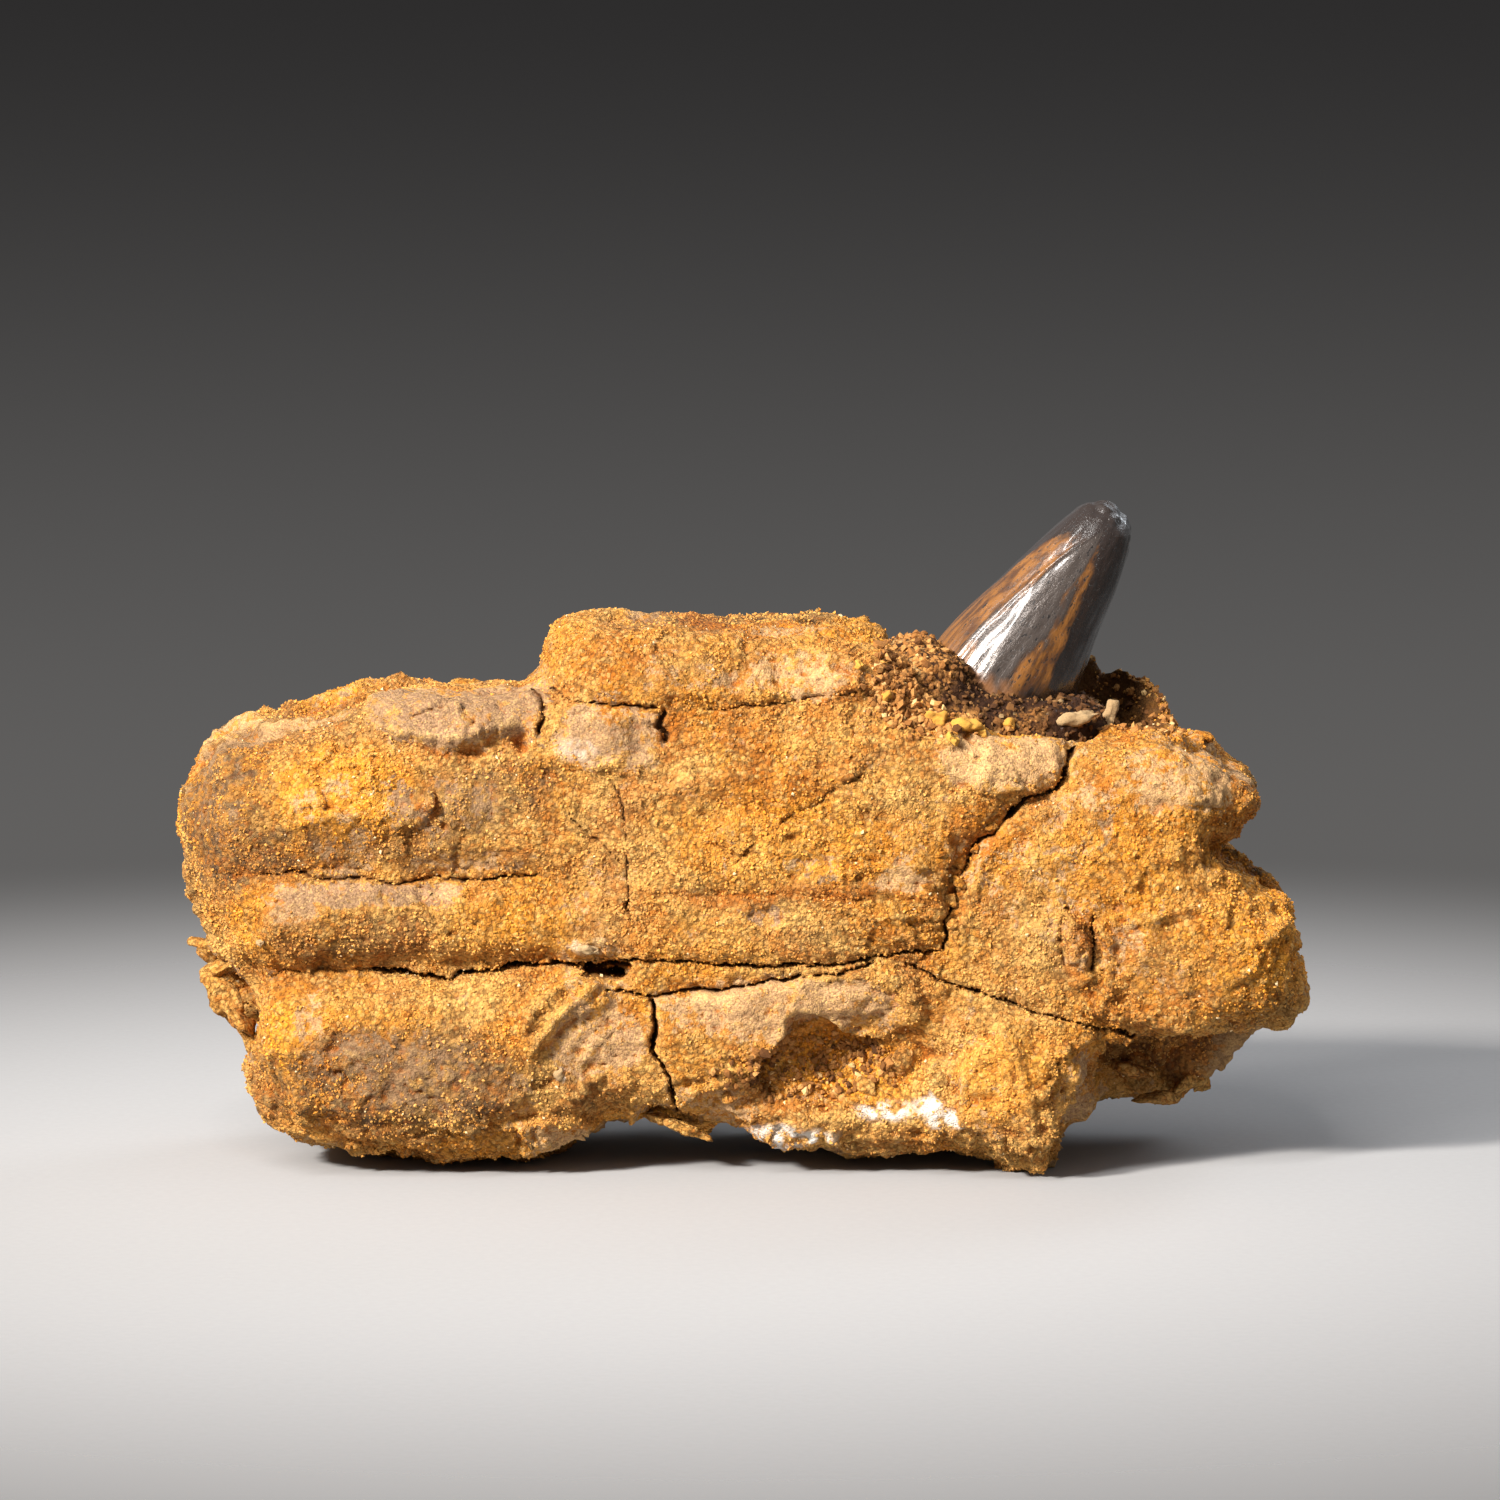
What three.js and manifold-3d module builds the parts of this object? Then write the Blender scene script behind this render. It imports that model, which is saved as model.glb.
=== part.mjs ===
// A piece of fossil mosasaur jaw: a block of sandy, iron-stained bone with one tooth still in its
// socket, the sediment packed round the tooth, and the broken wall of the next, empty socket.
// Millimetres, +Z up. The block's long side lies along X, its face looks along -Y, and the floor
// that it rests on is z = 0.
import * as THREE from "three";
import { ImprovedNoise } from "three/addons/math/ImprovedNoise.js";
import { mergeVertices } from "three/addons/utils/BufferGeometryUtils.js";
import Module from "manifold-3d";

const wasm = await Module();
wasm.setup();

// Driving dimensions.
const frontDepth = 25; // from the middle plane of the block to its face
const backDepth = 26; // and to its back
const edgeRadius = 9; // rounding between the faces and the sides
const lobeRadius = 15; // rounding of the upper left end, which is worn smooth
const rockFacet = 4.45; // size of one facet of the block
const sedimentFacet = 3.1; // and of the sediment
const fitGap = 0.35; // clearance between two pieces that touch
const foldGap = 0.08; // share of a facet by which two folds that meet are parted
const crackWidth = 1.3;
const crackDepth = 9;
const crownLength = 27.6; // of the tooth, above the gum line
const rootLength = 9;
const crownRadius = 9.8; // at the gum line
const crownFlatness = 0.9; // the crown's depth as a share of its width
const toothLean = 34; // degrees from upright, towards +X
const toothBase = new THREE.Vector3(32.6, -4, 61.2); // centre of the crown at the gum line

// The block's outline seen from the front, clockwise from its left end. A smooth curve joins them.
const outlineMarks = [
  [-74.5, 44.5], [-72.6, 50.3], [-67.6, 54.8], [-60.4, 57.4], [-50.3, 58.6], [-46.7, 60.7],
  [-40.9, 61.9], [-29, 61.3], [-26.6, 64], [-24.9, 68.7], [-20.5, 71], [-13, 71.2],
  [-5.2, 69.2], [9.1, 69.2], [16.9, 68.2], [20.8, 66.7], [24.5, 62.6], [29, 58.6],
  [36, 57.4], [44.8, 57], [54, 55.4], [60, 53.6], [64, 50.8], [65.8, 47.4],
  [63.6, 43.8], [61.8, 39.8], [63, 37.4], [67.2, 35], [70.6, 30.2], [71.8, 25.5],
  [73.8, 21], [72.2, 17.6], [67.5, 13.9], [60, 10.2], [51.6, 8.6], [46.5, 5.6],
  [42.5, 1.6], [38, -1.4], [22, -1.8], [6, -1.6], [1.5, 0.6], [-5.4, 5.4],
  [-13, 7.4], [-17.6, 5], [-21.4, -0.4], [-28, -2.4], [-45, -2], [-54, -0.2],
  [-62.4, 4.2], [-65.1, 9.5], [-64.9, 15.5], [-62.4, 21.3], [-66.8, 24], [-68, 29.5],
  [-71.2, 35], [-73.8, 39.6],
];

// Broad forms of the face: each is a smooth swell, raised or, with a negative rise, sunk.
const frontSwells = [
  { x: -54, z: 48, wide: 24, tall: 11, rise: 2.8 }, // upper left lobe
  { x: -49, z: 33, wide: 25, tall: 6, rise: 2.6 }, // bar below it
  { x: -42, z: 15, wide: 28, tall: 12, rise: 3 }, // lower left block
  { x: -37, z: 60, wide: 13, tall: 5.5, rise: 3.2 }, // worn ridge at the top
  { x: -17, z: 56.8, wide: 8, tall: 5.2, rise: 2 }, // small raised block
  { x: 32.5, z: 52.5, wide: 9, tall: 5.2, rise: 3.8 }, // knob under the tooth
  { x: 54.5, z: 51, wide: 12.5, tall: 6, rise: 3.2 }, // smooth lobe at the upper right
  { x: 62, z: 30, wide: 12, tall: 9, rise: 2.6 }, // right end
  { x: 6, z: 22.5, wide: 20, tall: 4, rise: 1.6 }, // pale strip above the hollow
  { x: 15, z: 15.4, wide: 15, tall: 7.6, rise: -7 }, // hollow over the bottom band
  { x: 6, z: 12, wide: 6, tall: 4, rise: -2.5 }, // its deep corner
  { x: 36, z: 11, wide: 9.5, tall: 13, rise: 4.6 }, // buttress over the front foot
];

// Furrows that run along the face.
const frontFurrows = [
  { route: [[-70, 38], [-58.7, 39.4], [-51, 38.9], [-33.4, 38.2], [-22, 36.5]], width: 3.6, depth: 2.6 },
  { route: [[-66, 24], [-52, 26.6], [-40, 26.2], [-31, 27.2], [-18, 27.6]], width: 3.6, depth: 3 },
  { route: [[40.5, 52.5], [35.9, 48.4], [32.2, 44], [27.6, 40.5], [25.9, 30]], width: 3.2, depth: 2.2 },
  { route: [[-26, 62.4], [-17, 60.2], [2, 60.9], [19, 61.7]], width: 3, depth: 1.6 },
];

// Plateaus: the ground inside the corners stands out from the face, or back from it.
const frontLedges = [
  { corners: [[-15.5, 51.5], [-3, 56.5], [22, 57.5], [33, 49], [26, 41], [25, 31], [-15, 29.5]], rise: 1.5 },
  { corners: [[46, 19], [54, 15.8], [58, 18.2], [71, 21.6], [80, 21], [80, -6], [44, -6]], rise: -9 },
  { corners: [[-27.5, 62], [-27, 74], [-17.5, 74], [-17, 68.6], [-19.5, 65.7], [-24, 62]], rise: -4 },
];

// The same for the back, in the same coordinates.
const backSwells = [
  { x: -48, z: 40, wide: 24, tall: 17, rise: 3.5 },
  { x: -40, z: 14, wide: 26, tall: 10, rise: 2.5 },
  { x: 4, z: 30, wide: 22, tall: 15, rise: 3 },
  { x: 46, z: 40, wide: 19, tall: 13, rise: 2.6 },
  { x: 30, z: 12, wide: 17, tall: 8, rise: -4 },
  { x: 58, z: 22, wide: 13, tall: 10, rise: -3.5 },
];
const backFurrows = [
  { route: [[-70, 27], [-45, 25], [-20, 29], [-4, 44], [2, 60]], width: 4, depth: 3.2 },
  { route: [[22, 62], [26, 44], [24, 26], [36, 8]], width: 3.6, depth: 2.8 },
];
const backLedges = [
  { corners: [[-30, 61], [-30, 80], [26, 80], [27, 60], [6, 57]], rise: -11 },
  { corners: [[-70, -5], [-70, 8], [-30, 6], [4, 9], [40, 6], [40, -5]], rise: -4 },
];

// The underside arches up between two places that it stands on. The third is a spur at the front.
const feet = [
  { x: -35, y: 1, reach: 13 },
  { x: 26, y: 10, reach: 12 },
];
const archHeight = 3.8;

// Open cracks in the face, each a route that is widest in its middle.
const cracks = [
  { route: [[-59.9, 24.7], [-52.3, 26.6], [-43.5, 26.2], [-31, 27.2], [-26.5, 28.1], [-16, 27]], width: 1.7 },
  { route: [[-17.5, 27], [-13.2, 28.5], [-5.7, 28], [7, 28.4], [17, 29.1], [25.9, 30], [28, 36.5],
    [27.6, 41.4], [32.2, 44.1], [35.9, 48.6], [40.3, 50.5], [40.7, 55]], width: 1.6 },
  { route: [[-18.3, 24.7], [-10.1, 23.3], [1.9, 24.9], [13.3, 27], [17.7, 28.3]] },
  { route: [[-12.2, 23.2], [-11.3, 21.5], [-12, 19], [-10.1, 13.2], [-8, 3]], width: 1.7, depth: 16 },
  { route: [[20.6, 27.9], [25.9, 24.9], [34.7, 23], [44.8, 19.6]] },
  { route: [[-25.8, 62.5], [-17, 60.2], [-5.6, 60.2], [9.5, 61], [18.9, 61.7]], width: 1.2 },
];

// Pits in the face.
const pits = [
  { at: [-38.8, -28, 48.6], half: [1.8, 3, 1.7] }, // in the upper left lobe
  { at: [-28.3, -27.5, 56.4], half: [2.4, 4, 1.7] }, // under the worn ridge
  { at: [-34.6, -28, 55], half: [2, 3.5, 1.4] },
  { at: [-10.1, -26.5, 57.2], half: [1.4, 4, 2.8] }, // at the end of the top seam
  { at: [-16.8, -26, 27.2], half: [2.6, 5, 1.5] }, // where the long cracks meet
  { at: [42.8, -26.5, 31.4], half: [2.8, 3, 4.6] }, // scar on the right block
];

// Splinters of bone that stick out past the block. The turn is in degrees, about Y.
const chips = [
  { at: [36.4, -14.5, 5], half: [8, 7.4, 6.3], turn: 0 }, // the spur that it stands on
  { at: [-66.8, 8, 20], half: [6.4, 5, 3.4], turn: 55 }, // left end
  { at: [-67.6, 9, 26], half: [4.4, 3.4, 1.3], turn: 5 },
  { at: [-68.6, 10, 29.2], half: [2.4, 3, 2.2], turn: 60 },
  { at: [50.8, -6, 10.4], half: [7, 7, 3.6], turn: 8 }, // under the right end
  { at: [-7.4, -11, 6.2], half: [3.8, 4.4, 1.4], turn: 20 }, // roof of the arch
  { at: [46.5, -13, 56], half: [1.6, 2.4, 2.6], turn: 10 }, // in front of the empty socket
  { at: [43.6, -13.4, 55], half: [2.2, 2.4, 2], turn: 0 },
  { at: [51.4, -10, 54.6], half: [4, 3.4, 2.6], turn: 15 },
  { at: [58.6, 2, 53.6], half: [3.8, 4.4, 2.2], turn: 25 },
];

// The next socket along: a broken cup that stands behind the tooth, open to the front and the top.
const socketWall = { at: [47.2, 4, 54], half: [9, 7.5, 9.8] };
const socketHollow = { at: [46.4, -1.6, 60.6], half: [7.2, 7, 9] };

// Sediment: two mounds that run together, with lumps in them (x, y, z, radius).
const mounds = [
  { at: [34, -5, 54], half: [14, 13.5, 7.4] },
  { at: [22.5, -7, 59.6], half: [8, 11, 7.6] },
];
const lumps = [
  [27.6, -16.8, 58, 2.8], [30.8, -18.2, 56.2, 2.2], [23.6, -15.6, 60.4, 2.2], [36, -17.4, 54.6, 2],
];

const noise = new ImprovedNoise();
const ripple = (x, y, z, wave) => noise.noise(x / wave + 9.1, y / wave + 4.7, z / wave + 2.3);

// Zero at the first edge and one at the second, whichever of the two is the larger.
function ramp(none, full, value) {
  const t = THREE.MathUtils.clamp((value - none) / (full - none), 0, 1);
  return t * t * (3 - 2 * t);
}

function smoothRing(marks) {
  const curve = new THREE.CatmullRomCurve3(marks.map(([x, z]) => new THREE.Vector3(x, z, 0)), true);
  return curve.getPoints(marks.length * 3).slice(1).map(({ x, y }) => [x, y]);
}
const outline = smoothRing(outlineMarks);

function routeDistance(route, x, z, closed = false) {
  let nearest = Infinity;
  const last = closed ? route.length : route.length - 1;
  for (let i = 0; i < last; i++) {
    const [ax, az] = route[i];
    const [bx, bz] = route[(i + 1) % route.length];
    const along = ((x - ax) * (bx - ax) + (z - az) * (bz - az)) / ((bx - ax) ** 2 + (bz - az) ** 2);
    const t = THREE.MathUtils.clamp(along, 0, 1);
    nearest = Math.min(nearest, Math.hypot(x - ax - t * (bx - ax), z - az - t * (bz - az)));
  }
  return nearest;
}

// How far a point lies inside a ring of corners: negative outside it.
function ringDepth(ring, x, z) {
  let inside = false;
  ring.forEach(([ax, az], i) => {
    const [bx, bz] = ring[(i + 1) % ring.length];
    if (az > z !== bz > z && x < ax + ((z - az) * (bx - ax)) / (bz - az)) inside = !inside;
  });
  return (inside ? 1 : -1) * routeDistance(ring, x, z, true);
}

function relief(x, z, swells, furrows, ledges) {
  let height = 0;
  for (const { x: middle, z: level, wide, tall, rise } of swells) {
    const far = ((x - middle) / wide) ** 2 + ((z - level) / tall) ** 2;
    if (far < 1) height += rise * (1 - far) ** 2;
  }
  for (const { route, width, depth } of furrows) {
    const far = routeDistance(route, x, z) / width;
    if (far < 1) height -= depth * (1 - far * far) ** 2;
  }
  for (const { corners, rise } of ledges) height += rise * ramp(-1.5, 1.5, ringDepth(corners, x, z));
  return height;
}

// Where walls meet, the edge between them is rounded. Every argument is a depth inside its wall.
function roundedMeet(radius, ...depths) {
  return radius - Math.hypot(...depths.map((depth) => Math.max(radius - depth, 0)));
}

function ellipsoidDepth({ at, half }, x, y, z) {
  const far = Math.hypot((x - at[0]) / half[0], (y - at[1]) / half[1], (z - at[2]) / half[2]);
  return (1 - far) * Math.min(...half);
}

// How deep a point lies in the block: zero on the surface, negative outside.
function blockDepth(px, y, pz) {
  const drift = 6 * ramp(2, 24, y); // the back isn't a copy of the front
  const x = px + drift * ripple(px, y, pz, 30);
  const z = pz + drift * ripple(pz, px, y, 30);
  const radius = THREE.MathUtils.lerp(edgeRadius, lobeRadius, ramp(-50, -62, x) * ramp(32, 44, z));
  const offFoot = Math.min(...feet.map((foot) => Math.hypot(x - foot.x, y - foot.y) / foot.reach));
  const arch = archHeight * ramp(0.5, 1.4, offFoot) * ramp(8, 3, z);
  const backTaper = 6 * ramp(2, 26, y) * Math.max(0, 0.5 + ripple(x, 40, z, 26));
  const wear = 1.6 * Math.max(0, ripple(x, y, z, 12));
  const side = ringDepth(outline, x, z) - arch - backTaper - wear;
  const face = y + frontDepth + relief(x, z, frontSwells, frontFurrows, frontLedges);
  const back = backDepth - y + relief(x, z, backSwells, backFurrows, backLedges) - 2 * wear;
  return roundedMeet(radius, side, face, back);
}

function sedimentDepth(x, y, z) {
  const mound = Math.max(...mounds.map((form) => ellipsoidDepth(form, x, y, z)));
  const lump = Math.max(...lumps.map(([lx, ly, lz, radius]) => radius - Math.hypot(x - lx, y - ly, z - lz)));
  return Math.max(mound + 1.1 * ripple(x, y, z, 5), lump);
}

// A closed surface where the depth is zero: one vertex in each cell that the surface crosses, and
// one four-sided face round each grid edge that it crosses.
function surfaceOf(depthAt, low, high, cell) {
  const count = low.map((value, axis) => Math.ceil((high[axis] - value) / cell) + 1);
  const step = [1, count[0], count[0] * count[1]];
  const place = (node) => node.map((n, axis) => low[axis] + n * cell);
  const visitNodes = (visit) => {
    for (let k = 0; k < count[2]; k++)
      for (let j = 0; j < count[1]; j++)
        for (let i = 0; i < count[0]; i++) visit([i, j, k], i + step[1] * j + step[2] * k);
  };
  const depth = new Float64Array(count[0] * count[1] * count[2]);
  visitNodes((node, at) => {
    depth[at] = depthAt(...place(node));
  });

  const corners = [0, 1, 2, 3, 4, 5, 6, 7].map((c) => [c & 1, (c >> 1) & 1, c >> 2]);
  const edges = corners.flatMap((from) => [0, 1, 2].filter((a) => !from[a]).map((axis) => ({ from, axis })));
  const vertexOf = new Map();
  const positions = [];
  visitNodes((node, at) => {
    if (node.some((n, axis) => n >= count[axis] - 1)) return;
    const crossings = [];
    for (const { from, axis } of edges) {
      const start = at + from[0] * step[0] + from[1] * step[1] + from[2] * step[2];
      const [a, b] = [depth[start], depth[start + step[axis]]];
      if (a > 0 === b > 0) continue;
      crossings.push(place(node.map((n, d) => n + from[d] + (d === axis ? a / (a - b) : 0))));
    }
    if (!crossings.length) return;
    vertexOf.set(at, positions.length / 3);
    for (let d = 0; d < 3; d++)
      positions.push(crossings.reduce((sum, crossing) => sum + crossing[d], 0) / crossings.length);
  });

  const index = [];
  visitNodes((node, at) => {
    for (let axis = 0; axis < 3; axis++) {
      const [u, v] = [(axis + 1) % 3, (axis + 2) % 3];
      if (node[u] < 1 || node[v] < 1 || node[axis] >= count[axis] - 1) continue;
      const inside = depth[at] > 0;
      if (inside === depth[at + step[axis]] > 0) continue;
      const cells = [at, at - step[u], at - step[u] - step[v], at - step[v]];
      const [a, b, c, d] = (inside ? cells : cells.reverse()).map((at) => vertexOf.get(at));
      index.push(a, b, c, a, c, d);
    }
  });
  const geometry = new THREE.BufferGeometry();
  geometry.setAttribute("position", new THREE.Float32BufferAttribute(positions, 3));
  return geometry.setIndex(index);
}

function solidOf(geometry) {
  const bare = geometry.index ? geometry.toNonIndexed() : geometry.clone();
  ["normal", "uv"].forEach((name) => bare.deleteAttribute(name));
  const merged = mergeVertices(bare, 1e-3);
  return new wasm.Manifold(
    new wasm.Mesh({
      numProp: 3,
      vertProperties: merged.attributes.position.array,
      triVerts: new Uint32Array(merged.index.array),
    }),
  );
}

// Two folds of a surface that meet in one point have a vertex each there. They are drawn a little
// apart, each towards the middle of its own faces, so that the folds stay separate.
function partFolds(position, index) {
  const corner = (at) => new THREE.Vector3().fromBufferAttribute(position, at);
  const mean = (points) =>
    points.reduce((sum, point) => sum.add(point), new THREE.Vector3()).divideScalar(points.length);
  const places = Array.from({ length: position.count }, (_, at) =>
    corner(at).multiplyScalar(1000).round().toArray().join());
  const sharing = new Map();
  places.forEach((place) => sharing.set(place, (sharing.get(place) ?? 0) + 1));
  const middles = new Map();
  for (let t = 0; t < index.length; t += 3) {
    const face = [index[t], index[t + 1], index[t + 2]];
    for (const at of face.filter((at) => sharing.get(places[at]) > 1))
      middles.set(at, [...(middles.get(at) ?? []), mean(face.map(corner))]);
  }
  for (const [at, found] of middles) {
    const moved = corner(at).lerp(mean(found), foldGap);
    position.setXYZ(at, moved.x, moved.y, moved.z);
  }
}

function geometryOf(solid) {
  const { vertProperties, triVerts } = solid.getMesh();
  const geometry = new THREE.BufferGeometry();
  geometry.setAttribute("position", new THREE.BufferAttribute(vertProperties, 3));
  geometry.setIndex(new THREE.BufferAttribute(triVerts, 1));
  partFolds(geometry.attributes.position, triVerts);
  geometry.computeVertexNormals();
  return geometry;
}

// A rough stone: a ball whose vertices lie nearer or farther along their own direction.
function stone({ at, half, turn = 0 }, detail, roughness) {
  const form = new THREE.IcosahedronGeometry(1, detail);
  const position = form.attributes.position;
  const point = new THREE.Vector3();
  for (let i = 0; i < position.count; i++) {
    point.fromBufferAttribute(position, i);
    const { x, y, z } = point;
    point.multiplyScalar(1 + roughness * ripple(x + at[0], y + at[1], z + at[2], 0.7));
    position.setXYZ(i, point.x, point.y, point.z);
  }
  return solidOf(form.scale(...half).rotateY(THREE.MathUtils.degToRad(turn)).translate(...at));
}

// A blade in the shape of a crack, pointed at both ends, that reaches in from outside the face.
function crackBlade({ route, width = crackWidth, depth = crackDepth }) {
  const marks = route.map(([x, z]) => new THREE.Vector3(x, z, 0));
  const line = new THREE.CatmullRomCurve3(marks, false, "chordal");
  const steps = route.length * 2;
  const left = [];
  const right = [];
  for (let i = 0; i <= steps; i++) {
    const at = line.getPointAt(i / steps);
    const ahead = line.getTangentAt(i / steps);
    const swelling = Math.sin((Math.PI * i) / steps) ** 0.6 * (i % 2 ? 0.88 : 0.6);
    const half = (width / 2) * (0.12 + swelling);
    left.push(new THREE.Vector2(at.x - ahead.y * half, at.y + ahead.x * half));
    right.unshift(new THREE.Vector2(at.x + ahead.y * half, at.y - ahead.x * half));
  }
  const outside = 12;
  const blade = new THREE.ExtrudeGeometry(new THREE.Shape([...left, ...right]), {
    depth: outside + depth,
    bevelEnabled: false,
  });
  return solidOf(blade.rotateX(Math.PI / 2).translate(0, depth - frontDepth, 0));
}

// A turned crown and root, flattened in depth, with a keel on each side, set leaning in the jaw.
// `grow` makes it that much larger all round, for the hole that it sits in.
function toothGeometry(grow = 0) {
  const profile = [
    [0.7, -rootLength], [0.88, -0.6 * rootLength], [1, -1], [0.985, 2], [0.93, 5], [0.86, 8],
    [0.77, 11.4], [0.69, 15], [0.61, 18.6], [0.535, 21.6], [0.46, 24], [0.39, 25.6],
    [0.28, 26.8], [0.15, crownLength - 0.2],
  ];
  const points = [
    new THREE.Vector2(0, -rootLength - grow),
    ...profile.map(([share, height]) => new THREE.Vector2(share * crownRadius + grow, height)),
    new THREE.Vector2(0, crownLength + grow),
  ];
  points[1].y -= grow;
  const form = new THREE.LatheGeometry(points, 26);
  const position = form.attributes.position;
  for (let i = 0; i < position.count; i++) {
    const [x, up, depth] = [position.getX(i), position.getY(i), position.getZ(i)];
    const angle = Math.atan2(depth, x);
    const keel = 1 + 0.03 * Math.max(0, Math.cos(2 * angle + 0.9)) ** 12 * ramp(-2, 6, up);
    const sweep = 2.6 * Math.max(0, up / crownLength) ** 2; // the tip curves towards the mouth
    position.setXYZ(i, x * keel, up, depth * keel * crownFlatness - sweep);
  }
  form.rotateX(Math.PI / 2).rotateY(THREE.MathUtils.degToRad(toothLean));
  return form.translate(toothBase.x, toothBase.y, toothBase.z);
}

const sedimentSurface = (grow) =>
  solidOf(surfaceOf((...at) => sedimentDepth(...at) + grow, [8, -24, 42], [54, 14, 74], sedimentFacet));

function jawSolid(toothHole) {
  let jaw = solidOf(surfaceOf(blockDepth, [-82, -38, -8], [82, 38, 78], rockFacet));
  jaw = jaw.add(stone(socketWall, 4, 0.12)).subtract(stone(socketHollow, 4, 0.12));
  for (const chip of chips) jaw = jaw.add(stone(chip, 1, 0.3));
  for (const pit of pits) jaw = jaw.subtract(stone(pit, 1, 0.3));
  for (const crack of cracks) jaw = jaw.subtract(crackBlade(crack));
  const underground = new THREE.BoxGeometry(400, 400, 40).translate(0, 0, -20);
  return jaw.subtract(sedimentSurface(fitGap + 0.15)).subtract(toothHole).subtract(solidOf(underground));
}

function fossilMesh(name, solid, material) {
  const mesh = new THREE.Mesh(geometryOf(solid), new THREE.MeshStandardMaterial(material));
  mesh.name = name;
  return mesh;
}

const toothHole = solidOf(toothGeometry(fitGap));
const fossil = new THREE.Group();
fossil.add(
  fossilMesh("jaw_bone", jawSolid(toothHole), { color: 0xc98a3a, roughness: 0.95, metalness: 0 }),
  fossilMesh("socket_sediment", sedimentSurface(0).subtract(toothHole),
    { color: 0x8a5a2b, roughness: 1, metalness: 0 }),
  fossilMesh("tooth", solidOf(toothGeometry()), { color: 0x4a3a30, roughness: 0.25, metalness: 0 }),
);

// The origin is on the floor, under the middle of the whole piece.
const box = new THREE.Box3().setFromObject(fossil);
fossil.position.set(-(box.min.x + box.max.x) / 2, -(box.min.y + box.max.y) / 2, -box.min.z);

export default fossil;
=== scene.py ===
import math
from contextlib import contextmanager

import bmesh
import bpy
import numpy as np
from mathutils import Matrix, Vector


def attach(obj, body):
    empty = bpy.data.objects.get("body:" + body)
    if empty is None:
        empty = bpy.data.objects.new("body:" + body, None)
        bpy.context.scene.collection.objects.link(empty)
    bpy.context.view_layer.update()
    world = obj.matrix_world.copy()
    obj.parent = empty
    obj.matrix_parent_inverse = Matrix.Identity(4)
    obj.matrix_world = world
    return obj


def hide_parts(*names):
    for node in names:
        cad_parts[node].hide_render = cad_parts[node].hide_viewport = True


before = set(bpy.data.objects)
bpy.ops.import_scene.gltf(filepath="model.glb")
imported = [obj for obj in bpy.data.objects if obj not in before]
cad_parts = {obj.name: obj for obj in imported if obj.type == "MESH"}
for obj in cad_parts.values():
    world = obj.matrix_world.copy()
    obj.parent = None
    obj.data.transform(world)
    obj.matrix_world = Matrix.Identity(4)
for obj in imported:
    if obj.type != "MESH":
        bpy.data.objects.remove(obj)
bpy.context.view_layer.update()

mm = 0.001
scene = bpy.context.scene


# Numbers that vary over a surface. Points are in millimetres.
def ramp(none, full, value):
    t = np.clip((value - none) / (full - none), 0, 1)
    return t * t * (3 - 2 * t)


def makeNoise(seed):
    dice = np.random.default_rng(seed)
    order = np.tile(dice.permutation(256), 2)
    slopes = dice.normal(size=(256, 3)).astype(np.float32)
    slopes /= np.linalg.norm(slopes, axis=1)[:, None]

    def noise(points, size):
        place = points / size
        cell = np.floor(place)
        part = (place - cell).astype(np.float32)
        cell = cell.astype(np.int64) & 255
        fade = part**3 * (part * (part * 6 - 15) + 10)
        total = np.zeros(len(points), np.float32)
        for dx in (0, 1):
            rowX = order[(cell[:, 0] + dx) & 255]
            shareX = fade[:, 0] if dx else 1 - fade[:, 0]
            for dy in (0, 1):
                rowY = order[(rowX + cell[:, 1] + dy) & 255]
                shareY = shareX * (fade[:, 1] if dy else 1 - fade[:, 1])
                for dz in (0, 1):
                    slope = slopes[order[(rowY + cell[:, 2] + dz) & 255]]
                    share = shareY * (fade[:, 2] if dz else 1 - fade[:, 2])
                    total += share * ((part - (dx, dy, dz)) * slope).sum(1)
        return total * 1.6

    return noise


def granules(points, size, seed, tilt=0.0):
    # 1 in the middle of a granule and about 0 in the gaps; with tilt, each is cut flat at its own slant
    dice = np.random.default_rng(seed)
    order = np.tile(dice.permutation(256), 2)
    spots = dice.random((256, 3)).astype(np.float32)
    slants = dice.normal(size=(256, 3)).astype(np.float32)
    place = points / size
    cell = np.floor(place).astype(np.int64)
    part = (place - cell).astype(np.float32)
    nearest = np.full(len(points), 9, np.float32)
    slant = np.zeros(len(points), np.float32)
    for step in np.ndindex(3, 3, 3):
        step = np.array(step) - 1
        at = (cell + step) & 255
        pick = order[(order[(order[at[:, 0]] + at[:, 1]) & 255] + at[:, 2]) & 255]
        offset = spots[pick] + step - part
        far = (offset**2).sum(1)
        if tilt:
            slant = np.where(far < nearest, (offset * slants[pick]).sum(1), slant)
        nearest = np.minimum(nearest, far)
    return tilt * slant if tilt else 1 - np.sqrt(nearest)


noise = makeNoise(3)
otherNoise = makeNoise(8)


def wander(points, size, amount):
    # the same points, pushed about, so that drawn lines come out ragged
    pushes = [noise(points + 40, size), noise(points + 80, size), otherNoise(points, size)]
    return points + amount * np.stack(pushes, 1)


def routeDistance(points, route):
    # distance to a line drawn on the face, and how far along it, from 0 to 1
    x, z = points[:, 0], points[:, 2]
    lengths = [math.dist(a, b) for a, b in zip(route, route[1:])]
    nearest = np.full(len(x), 1e9)
    along = np.zeros(len(x))
    done = 0
    for (ax, az), (bx, bz), length in zip(route, route[1:], lengths):
        t = np.clip(((x - ax) * (bx - ax) + (z - az) * (bz - az)) / length**2, 0, 1)
        far = np.hypot(x - ax - t * (bx - ax), z - az - t * (bz - az))
        along = np.where(far < nearest, (done + t * length) / sum(lengths), along)
        nearest = np.minimum(nearest, far)
        done += length
    return nearest, along


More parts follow.
